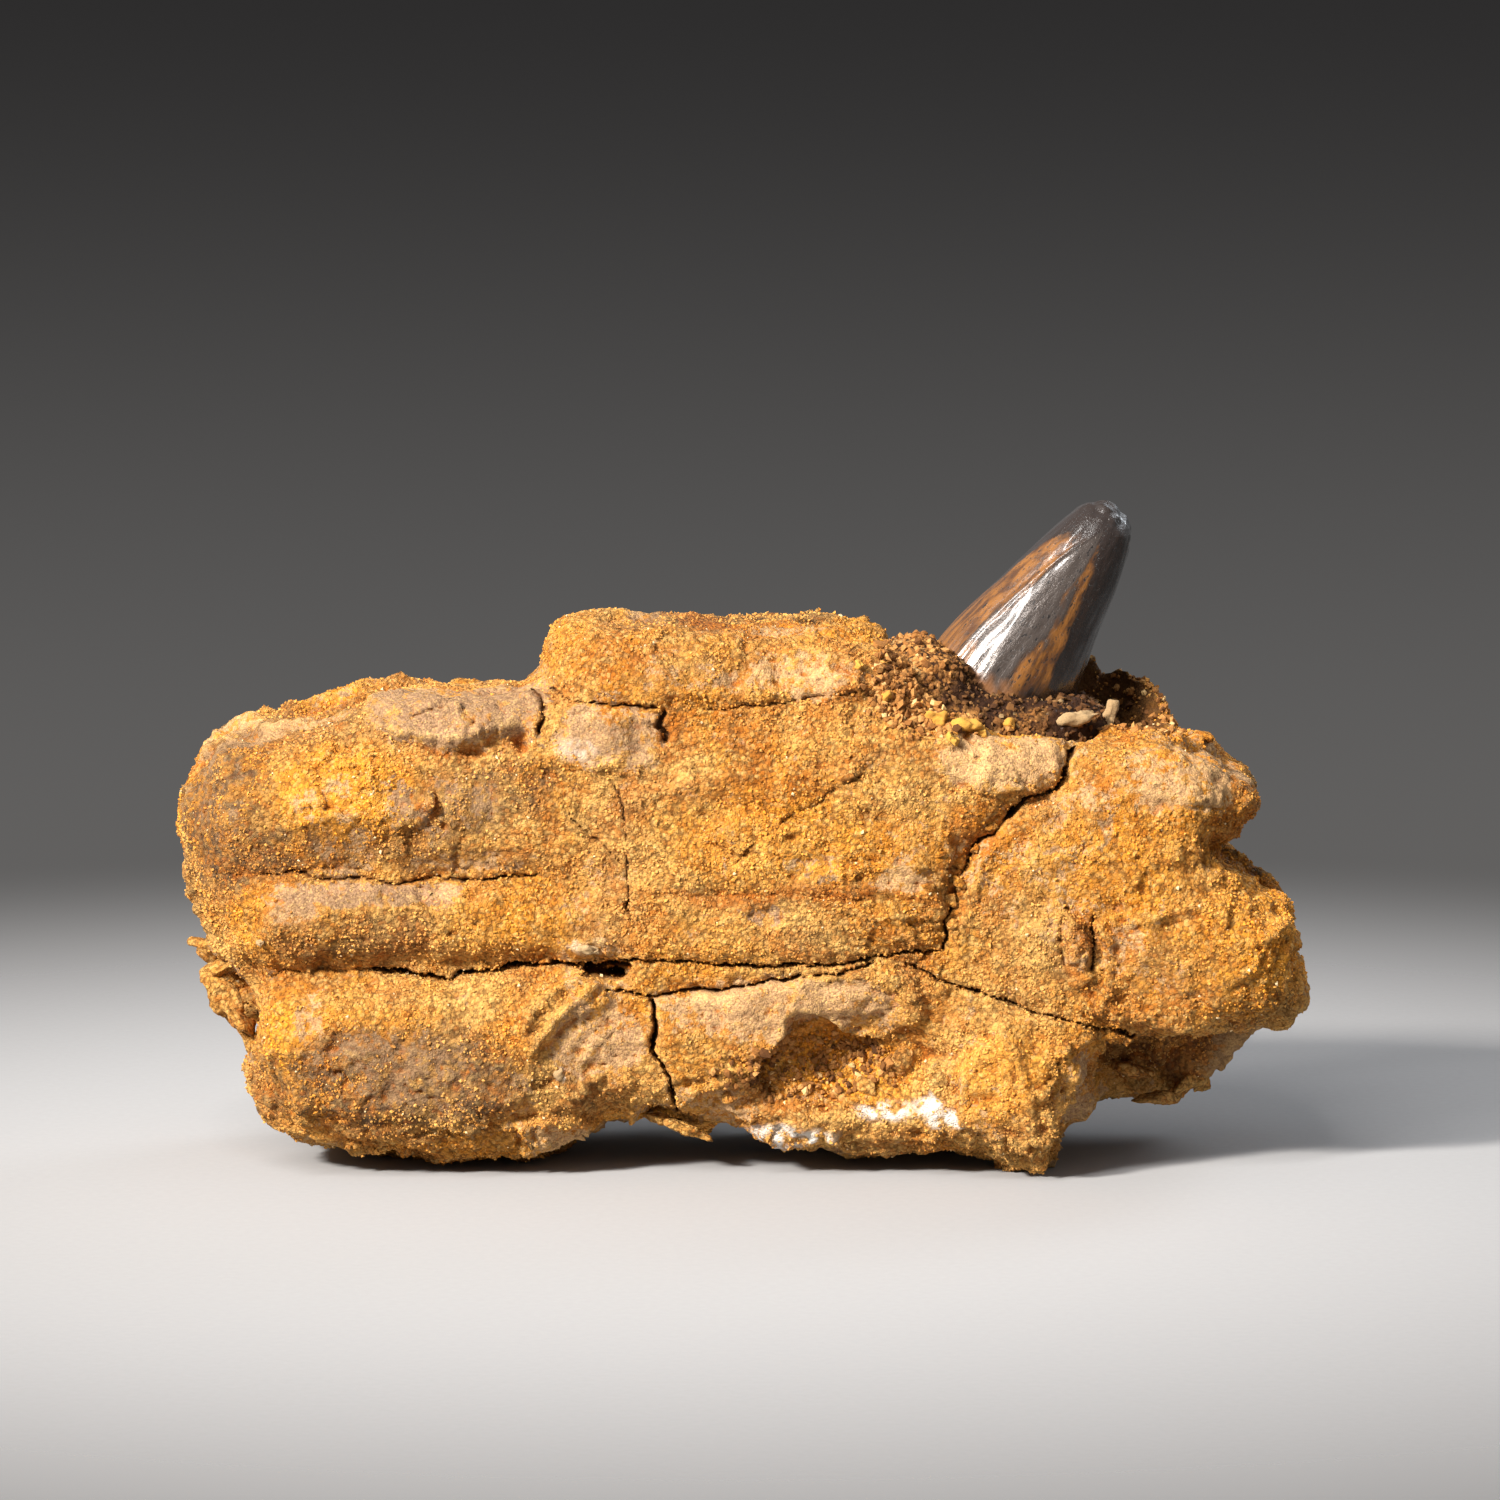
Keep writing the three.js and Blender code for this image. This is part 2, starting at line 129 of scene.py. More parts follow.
def ringDepth(points, corners):
    # how far a place on the face lies inside a ring of corners, negative outside it
    x, z = points[:, 0], points[:, 2]
    inside = np.zeros(len(x), bool)
    for (ax, az), (bx, bz) in zip(corners, corners[1:] + corners[:1]):
        crossing = (az > z) != (bz > z)
        inside ^= crossing & (x < ax + (z - az) * (bx - ax) / ((bz - az) or 1e-9))
    return np.where(inside, 1, -1) * routeDistance(points, corners + corners[:1])[0]


def patch(points, x, z, wide, tall):
    # 1 inside an ellipse drawn on the face, 0 well outside it
    return ramp(1.35, 0.65, np.hypot((points[:, 0] - x) / wide, (points[:, 2] - z) / tall))


# Meshes
def fetched(items, name, kind=np.float32, width=1):
    values = np.empty(len(items) * width, kind)
    items.foreach_get(name, values)
    return values if width == 1 else values.reshape(-1, width)


def readMesh(mesh):
    # points in millimetres, normals and edges
    points, normals = fetched(mesh.vertices, "co", width=3), fetched(mesh.vertices, "normal", width=3)
    return points / mm, normals, fetched(mesh.edges, "vertices", np.int32, 2)


@contextmanager
def editing(mesh):
    # opens a mesh for changes to its faces, and writes it back at the end
    scratch = bmesh.new()
    scratch.from_mesh(mesh)
    scratch.verts.ensure_lookup_table()
    yield scratch
    scratch.to_mesh(mesh)
    scratch.free()


def writePoints(mesh, points):
    mesh.vertices.foreach_set("co", (points * mm).astype(np.float32).ravel())
    mesh.update()


def meshOf(name, points, faces):
    mesh = bpy.data.meshes.new(name)
    mesh.vertices.add(len(points))
    mesh.loops.add(faces.size)
    mesh.polygons.add(len(faces))
    mesh.loops.foreach_set("vertex_index", faces.astype(np.int32).ravel())
    starts = np.arange(0, faces.size, faces.shape[1], dtype=np.int32)
    mesh.polygons.foreach_set("loop_start", starts)
    writePoints(mesh, points)
    mesh.update(calc_edges=True)
    mesh.validate()
    return mesh


def modified(mesh, kind, **settings):
    # a new mesh: this one with a single modifier applied
    holder = bpy.data.objects.new("holder", mesh)
    scene.collection.objects.link(holder)
    if "vertex_group" in settings:
        group = holder.vertex_groups.new(name=settings["vertex_group"])
        for weight, members in settings.pop("members"):
            group.add(members, weight, "REPLACE")
    modifier = holder.modifiers.new(kind, kind)
    for name, value in settings.items():
        setattr(modifier, name, value)
    graph = bpy.context.evaluated_depsgraph_get()
    made = bpy.data.meshes.new_from_object(holder.evaluated_get(graph), depsgraph=graph)
    bpy.data.objects.remove(holder)
    bpy.data.meshes.remove(mesh)
    return made


def joined(parts):
    scratch = bmesh.new()
    for part in parts:
        scratch.from_mesh(part)
        bpy.data.meshes.remove(part)
    made = bpy.data.meshes.new("joined")
    scratch.to_mesh(made)
    scratch.free()
    return made


def blurred(values, edges, rounds):
    # each value moved half way to the mean of its neighbours, for a number of rounds
    a, b = edges.T
    count = len(values)
    neighbours = np.bincount(a, minlength=count) + np.bincount(b, minlength=count)
    for _ in range(rounds):
        sums = [np.bincount(a, column[b], count) + np.bincount(b, column[a], count) for column in values.T]
        values = values + 0.5 * (np.stack(sums, 1) / neighbours[:, None] - values)
    return values


def attribute(mesh, name, values):
    made = mesh.attributes.new(name, "FLOAT", "POINT")
    made.data.foreach_set("value", np.clip(values, 0, 1).astype(np.float32))


def readAttribute(mesh, name):
    return fetched(mesh.attributes[name].data, "value")


def largestPart(mesh):
    # drops loose crumbs and closed voids that a remesh leaves behind
    points, _, edges = readMesh(mesh)
    label = np.arange(len(points))
    while True:
        low = label.copy()
        np.minimum.at(low, edges[:, 0], label[edges[:, 1]])
        np.minimum.at(low, edges[:, 1], label[edges[:, 0]])
        low = low[low]
        if (low == label).all():
            break
        label = low
    keep = np.bincount(label).argmax()
    with editing(mesh) as scratch:
        loose = [scratch.verts[i] for i in np.flatnonzero(label != keep)]
        bmesh.ops.delete(scratch, geom=loose, context="VERTS")
    return mesh


def rockShape(detail, seed, spread=0.45, planes=11):
    # a ball cut flat on many sides, as a broken stone is
    dice = np.random.default_rng(seed)
    scratch = bmesh.new()
    bmesh.ops.create_icosphere(scratch, subdivisions=detail, radius=1)
    points = np.array([v.co for v in scratch.verts])
    faces = np.array([[v.index for v in face.verts] for face in scratch.faces])
    scratch.free()
    normals = dice.normal(size=(planes, 3))
    normals /= np.linalg.norm(normals, axis=1)[:, None]
    reach = 1 - spread * dice.random(planes)
    facing = np.maximum(points @ normals.T, 1e-3)
    return points * np.minimum((reach / facing).min(1), 1.15)[:, None], faces


def turned(points, angles):
    # degrees about x, y and z, in that order
    for axis, angle in enumerate(np.radians(angles)):
        a, b = [(1, 2), (2, 0), (0, 1)][axis]
        pa, pb = points[:, a].copy(), points[:, b].copy()
        points[:, a] = pa * math.cos(angle) - pb * math.sin(angle)
        points[:, b] = pa * math.sin(angle) + pb * math.cos(angle)
    return points


def rock(at, half, turn, seed, spread=0.5):
    points, faces = rockShape(4, seed, spread)
    return meshOf("rock", turned(points * half, turn) + at, faces)


def addPiece(name, mesh, material, replaced=(), smooth=True):
    mesh.name = name
    mesh.materials.clear()
    mesh.materials.append(material)
    mesh.polygons.foreach_set("use_smooth", np.full(len(mesh.polygons), smooth))
    piece = bpy.data.objects.new(name, mesh)
    scene.collection.objects.link(piece)
    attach(piece, "root")
    if replaced:
        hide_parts(*replaced)
    mesh.calc_loop_triangles()
    print(f"{name}: {len(mesh.loop_triangles)} triangles")
    return piece


# Shader building
def setSocket(tree, socket, value):
    if isinstance(value, bpy.types.NodeSocket):
        tree.links.new(value, socket)
    elif socket.type == "RGBA" and len(value) == 3:
        socket.default_value = (*value, 1)
    else:
        socket.default_value = value


def setSockets(tree, sockets, values):
    for name, value in values.items():
        setSocket(tree, sockets[name], value)


def addNode(tree, kind, inputs=(), **settings):
    made = tree.nodes.new(kind)
    for name, value in settings.items():
        setattr(made, name, value)
    setSockets(tree, made.inputs, dict(inputs))
    return made


def mixed(tree, share, a, b):
    return addNode(tree, "ShaderNodeMix", {0: share, 6: a, 7: b}, data_type="RGBA").outputs[2]


def calculated(tree, operation, *values, clamp=False):
    made = addNode(tree, "ShaderNodeMath", dict(enumerate(values)), operation=operation, use_clamp=clamp)
    return made.outputs[0]


def times(tree, a, b, clamp=False):
    return calculated(tree, "MULTIPLY", a, b, clamp=clamp)


def summed(tree, start, *terms):
    # start, plus each value times its share
    for value, share in terms:
        start = calculated(tree, "MULTIPLY_ADD", value, share, start)
    return start


def layered(tree, colour, *layers):
    # coats over a colour: where each lies, how thick it is there, and its own colour
    for where, share, coat in layers:
        colour = mixed(tree, times(tree, where, share), colour, coat)
    return colour


def masked(tree, value, low, high):
    made = addNode(
        tree, "ShaderNodeMapRange", {"Value": value, "From Min": low, "From Max": high},
        interpolation_type="SMOOTHSTEP",
    )
    return made.outputs[0]


def marks(tree, *names):
    # values that the meshes carry
    return [addNode(tree, "ShaderNodeAttribute", attribute_name=name).outputs["Fac"] for name in names]


def objectPlace(tree):
    return addNode(tree, "ShaderNodeTexCoord").outputs["Object"]


def noiseTexture(tree, place, scale, detail=2.0, roughness=0.5, warp=0.0):
    values = {"Vector": place, "Scale": scale, "Detail": detail, "Roughness": roughness, "Distortion": warp}
    return addNode(tree, "ShaderNodeTexNoise", values).outputs["Fac"]


def newGroup(name, inputs, outputs):
    group = bpy.data.node_groups.new(name, "ShaderNodeTree")
    for label, value in inputs.items():
        made = group.interface.new_socket(label, in_out="INPUT", socket_type="NodeSocketFloat")
        made.default_value = value
    for label in outputs:
        kind = "NodeSocketColor" if label == "Colour" else "NodeSocketFloat"
        group.interface.new_socket(label, in_out="OUTPUT", socket_type=kind)
    return group, group.nodes.new("NodeGroupInput").outputs, group.nodes.new("NodeGroupOutput").inputs


def placed(tree, group, **inputs):
    made = tree.nodes.new("ShaderNodeGroup")
    made.node_tree = group
    setSockets(tree, made.inputs, inputs)
    return made.outputs


def makeSandGrain():
    # grains of many heights and tones with small pits between, and a mask of the pits for painting shade in
    # them; fineness is grains per metre
    tree, entry, leave = newGroup(
        "sandGrain", {"Fineness": 1500.0, "Flecks": 0.5}, ["Height", "GapShade", "Fleck", "Tone"]
    )
    place = objectPlace(tree)
    cells = addNode(tree, "ShaderNodeTexVoronoi", {"Vector": place, "Scale": entry["Fineness"]}).outputs
    crumble = noiseTexture(tree, place, times(tree, entry["Fineness"], 0.6), 5.0, 0.8)
    dome = summed(tree, 1.0, (cells["Distance"], -1.0))
    tone = addNode(tree, "ShaderNodeSeparateColor", {"Color": cells["Color"]}).outputs["Red"]
    oddOnes = summed(tree, 1.0, (entry["Flecks"], -0.2))
    setSockets(tree, leave, {
        "Height": summed(tree, dome, (tone, 0.55), (crumble, 1.5)),
        "GapShade": masked(tree, summed(tree, crumble, (dome, 0.4)), 0.75, 0.57),
        "Fleck": calculated(tree, "GREATER_THAN", tone, oddOnes),
        "Tone": tone,
    })
    return tree


def makeStainCloud():
    # clouds of stain, from a broad wash down to blotches
    tree, entry, leave = newGroup(
        "stainCloud", {"Scale": 60.0, "Low": 0.4, "High": 0.6, "Warp": 0.6}, ["Mask"]
    )
    cloud = noiseTexture(tree, objectPlace(tree), entry["Scale"], 5.0, 0.6, entry["Warp"])
    setSockets(tree, leave, {"Mask": masked(tree, cloud, entry["Low"], entry["High"])})
    return tree


sandGrain, stainCloud = makeSandGrain(), makeStainCloud()


def clouds(tree, look):
    # one mask for each of the look's clouds, which are given by scale, low, high and warp
    names = ("Scale", "Low", "High", "Warp")
    return [placed(tree, stainCloud, **dict(zip(names, cloud)))["Mask"] for cloud in look["clouds"].values()]


def newMaterial(name):
    made = bpy.data.materials.new(name)
    made.use_nodes = True
    tree = made.node_tree
    return made, tree, tree.nodes["Principled BSDF"]


def finish(tree, shader, colour, rough, gloss, height, strength, depth):
    # depth is that of the bumps, in millimetres
    bump = addNode(tree, "ShaderNodeBump", {"Strength": strength, "Distance": depth * mm, "Height": height})
    shader.inputs["Specular IOR Level"].default_value = gloss
    setSockets(tree, shader.inputs, {"Base Color": colour, "Roughness": rough, "Normal": bump.outputs[0]})


crustLook = {
    "gold": (0.62, 0.246, 0.024),
    "straw": (0.69, 0.375, 0.1),
    "bright": (0.84, 0.335, 0.02),
    "rust": (0.42, 0.112, 0.009),
    "umber": (0.12, 0.068, 0.032),
    "clouds": {
        "broad": (45.0, 0.38, 0.62, 0.6), "blotch": (150.0, 0.44, 0.62, 0.6),
        "mottle": (560.0, 0.42, 0.62, 0.2), "shadow": (80.0, 0.5, 0.68, 0.8),
    },
}


def makeCrustColour():
    # the crust of sand: golden, with paler, browner and rustier ground where the surface is marked so
    look = crustLook
    tree, entry, leave = newGroup("crustColour", {"Rustiness": 0.5}, ["Colour"])
    broad, blotch, mottle, shadow = clouds(tree, look)
    bright, brown, rust = marks(tree, "bright", "brown", "rust")
    shaded = calculated(tree, "MAXIMUM", times(tree, shadow, 0.45), brown)
    patchy = times(tree, shaded, summed(tree, 0.5, (mottle, 0.6)), clamp=True)
    colour = layered(
        tree, look["gold"], (broad, 1.0, look["straw"]), (blotch, entry["Rustiness"], look["rust"]),
        (mottle, 0.3, look["straw"]), (bright, 0.8, look["bright"]), (patchy, 1.0, look["umber"]),
        (rust, 0.85, look["rust"]),
    )
    setSockets(tree, leave, {"Colour": colour})
    return tree


crustColour = makeCrustColour()
print("shader groups: sandGrain, stainCloud and crustColour")

jawLook = {
    "boneGrey": (0.35, 0.21, 0.12),
    "boneTan": (0.65, 0.38, 0.168),
    "speck": (0.12, 0.062, 0.032),
    "glint": (0.8, 0.49, 0.16),
    "chalk": (0.82, 0.74, 0.65),
    # deep: painted shade, in the gaps between grains, inside cracks and inside the empty socket; also the
    # darkest grains
    "deep": (0.075, 0.028, 0.007),
    "grains": 1700.0,  # per metre
    "dust": 2.4,  # how much finer the grains on bare bone are
    "clouds": {
        "crumbled": (1250.0, 0.3, 0.7, 0.1), "mottle": (420.0, 0.38, 0.64, 0.4),
        "freckle": (1500.0, 0.56, 0.68, 0.0),
    },
}


def sandyBone():
    look = jawLook
    material, tree, shader = newMaterial("sandyBone")
    sand = placed(tree, sandGrain, Fineness=look["grains"], Flecks=0.3)
    dust = placed(tree, sandGrain, Fineness=look["grains"] * look["dust"], Flecks=0.4)
    crust = placed(tree, crustColour, Rustiness=0.6)["Colour"]
    crumbled, mottle, freckle = clouds(tree, look)
    worn, dent, grey, brown = marks(tree, "worn", "dent", "grey", "brown")
    chalk, hollow = marks(tree, "chalk", "hollow")

    bone = layered(
        tree, look["boneTan"], (grey, 1.0, look["boneGrey"]), (mottle, 0.35, look["boneGrey"]),
        (freckle, 0.75, look["speck"]), (brown, 0.6, crustLook["umber"]),
    )
    bare = masked(tree, summed(tree, worn, (mottle, 0.4), (crumbled, 0.6)), 0.86, 1.14)
    tone = mixed(tree, worn, sand["Tone"], dust["Tone"])
    gapShade = mixed(tree, worn, sand["GapShade"], times(tree, dust["GapShade"], 0.5))
    shade = mixed(tree, worn, crustLook["rust"], look["speck"])
    glint = times(tree, masked(tree, tone, 0.55, 1.0), summed(tree, 1.0, (brown, -0.75)))
    colour = layered(
        tree, crust, (bare, 1.0, bone),
        # painted shade: the rust colour in dents; painted highlight: the glint colour on crests
        (masked(tree, dent, 0.56, 0.95), 0.75, crustLook["rust"]),
        (masked(tree, dent, 0.44, 0.1), 0.25, look["glint"]),
        # painted shade: the deep colour in the gaps between grains
        (masked(tree, tone, 0.4, 0.0), 0.5, shade), (glint, 0.5, look["glint"]), (gapShade, 0.62, look["deep"]),
        # painted shade: the deep colour inside the cracks and the empty socket
        (chalk, 1.0, look["chalk"]), (hollow, 1.0, look["deep"]),
    )
    dry = summed(tree, 0.95, (dust["Fleck"], -0.3))
    coarse = times(tree, sand["Height"], summed(tree, 1.0, (worn, -0.85)))
    height = summed(tree, coarse, (dust["Height"], summed(tree, 0.4, (worn, -0.22))))
    finish(tree, shader, colour, dry, 0.2, height, 1.0, 0.42)
    return material


def newGrain(name, base, light, dark, quartz, quartzShare):
    # each grain has its own tone, from the attribute that the scatter gives it
    material, tree, shader = newMaterial(name)
    tone, brown, shadeNearTooth = marks(tree, "tone", "brown", "shadeNearTooth")
    fine = placed(tree, sandGrain, Fineness=5200.0, Flecks=0.5)
    colour = mixed(tree, tone, *base) if base else placed(tree, crustColour, Rustiness=0.5)["Colour"]
    colour = layered(
        tree, colour, (masked(tree, tone, 0.5, 0.95), summed(tree, 0.5, (brown, -0.35)), light),
        (masked(tree, tone, 0.22, 0.0), 0.6, dark),
        (masked(tree, tone, 1.0 - quartzShare, 1.001 - quartzShare), 1.0, quartz),
        # painted shade: the dark colour in the gaps of each grain's fine texture and round the root of the
        # tooth
        (fine["GapShade"], 0.25, dark), (shadeNearTooth, 0.72, dark),
    )
    finish(tree, shader, colour, masked(tree, tone, 1.25, 0.8), 0.3, fine["Height"], 0.5, 0.05)
    return material


sedimentLook = {
    "crumb": (0.47, 0.205, 0.05),
    "earth": (0.19, 0.072, 0.016),
    "light": (0.62, 0.33, 0.11),
    "quartz": (0.7, 0.45, 0.18),
    # dark: painted shade in the gaps between grains and round the root of the tooth; also the darkest crumbs
    "dark": (0.034, 0.013, 0.005),
    "clouds": {"cloud": (160.0, 0.4, 0.62, 0.6), "mottle": (700.0, 0.42, 0.62, 0.6)},
}


def crumblySediment():
    look = sedimentLook
    material, tree, shader = newMaterial("crumblySediment")
    sand = placed(tree, sandGrain, Fineness=1500.0, Flecks=0.2)
    cloud, mottle = clouds(tree, look)
    colour = layered(
        tree, look["earth"], (cloud, 1.0, look["crumb"]), (mottle, 0.3, look["light"]),
        # painted shade: the dark colour in the gaps between grains
        (sand["GapShade"], 1.0, look["dark"]), (sand["Fleck"], 0.4, look["quartz"]),
        # painted shade: dark round the root of the tooth
        (marks(tree, "shadeNearTooth")[0], 1.0, look["dark"]),
    )
    finish(tree, shader, colour, masked(tree, sand["Fleck"], 1.6, -0.1), 0.2, sand["Height"], 1.0, 0.3)
    return material


clayLook = {
    "yellow": ((0.46, 0.215, 0.03), (0.6, 0.32, 0.055)),
    "pale": ((0.28, 0.175, 0.08), (0.42, 0.29, 0.15)),
}

toothLook = {
    "enamel": (0.018, 0.01, 0.007),
    "brown": (0.07, 0.026, 0.007),
    "ochre": (0.21, 0.082, 0.014),
    # steel: the lighter colour of the painted sheen band on the front of the crown
    "steelSheen": (0.065, 0.05, 0.042),
    "scratch": (0.008, 0.005, 0.004),
    "clouds": {"pits": (2600.0, 0.6, 0.68, 0.2)},
}


def toothEnamel():
    look = toothLook
    material, tree, shader = newMaterial("toothEnamel")
    along = addNode(tree, "ShaderNodeAttribute", attribute_name="lengthwise").outputs["Vector"]
    apart = addNode(tree, "ShaderNodeVectorMath", {0: along, 1: (5.0, 5.0, 5.0)}, operation="ADD").outputs[0]
    streak = noiseTexture(tree, along, 0.9, 4.0, 0.65, 0.2)
    hair = noiseTexture(tree, along, 3.4, 3.0, 0.6)
    tint = noiseTexture(tree, apart, 1.1, 3.0, 0.5, 0.1)
    (pits,) = clouds(tree, look)
    grit = placed(tree, sandGrain, Fineness=2600.0, Flecks=0.4)["Height"]
    dust, polishAndSheen, rust, chipped = marks(tree, "dust", "polishAndSheen", "rust", "chipped")

    rusty = masked(tree, summed(tree, rust, (streak, 0.9)), 0.72, 1.3)
    for cover in (rusty, dust):
        polishAndSheen = times(tree, polishAndSheen, summed(tree, 1.0, (cover, -1.0)))
    stain = mixed(tree, masked(tree, tint, 0.36, 0.62), look["brown"], look["ochre"])
    colour = layered(
        # painted highlight: a lighter, partly metallic band on the front of the crown where the highlight
        # falls
        tree, look["enamel"], (polishAndSheen, 1.0, look["steelSheen"]), (rusty, 1.0, stain),
        (masked(tree, hair, 0.42, 0.34), 1.0, look["scratch"]), (pits, 0.8, look["scratch"]),
        (dust, 0.9, sedimentLook["earth"]),
    )
    furred = masked(tree, hair, 0.5, 0.38)
    rough = summed(tree, 0.25, (rusty, 0.1), (pits, 0.3), (furred, 0.15), (dust, 0.5), (chipped, 0.3))
    height = summed(tree, streak, (hair, 0.9), (grit, 0.22), (pits, -0.4))
    finish(tree, shader, colour, rough, 0.48, height, 0.8, 0.08)
    shine = summed(tree, 0.9, (rusty, -0.3), (chipped, -1.0), (dust, -1.0))
    setSockets(tree, shader.inputs, {
        "Metallic": times(tree, polishAndSheen, 0.3), "Coat Weight": times(tree, shine, 1.0, clamp=True),
    })
    shader.inputs["IOR"].default_value = 1.55
    shader.inputs["Coat Roughness"].default_value = 0.14
    return material


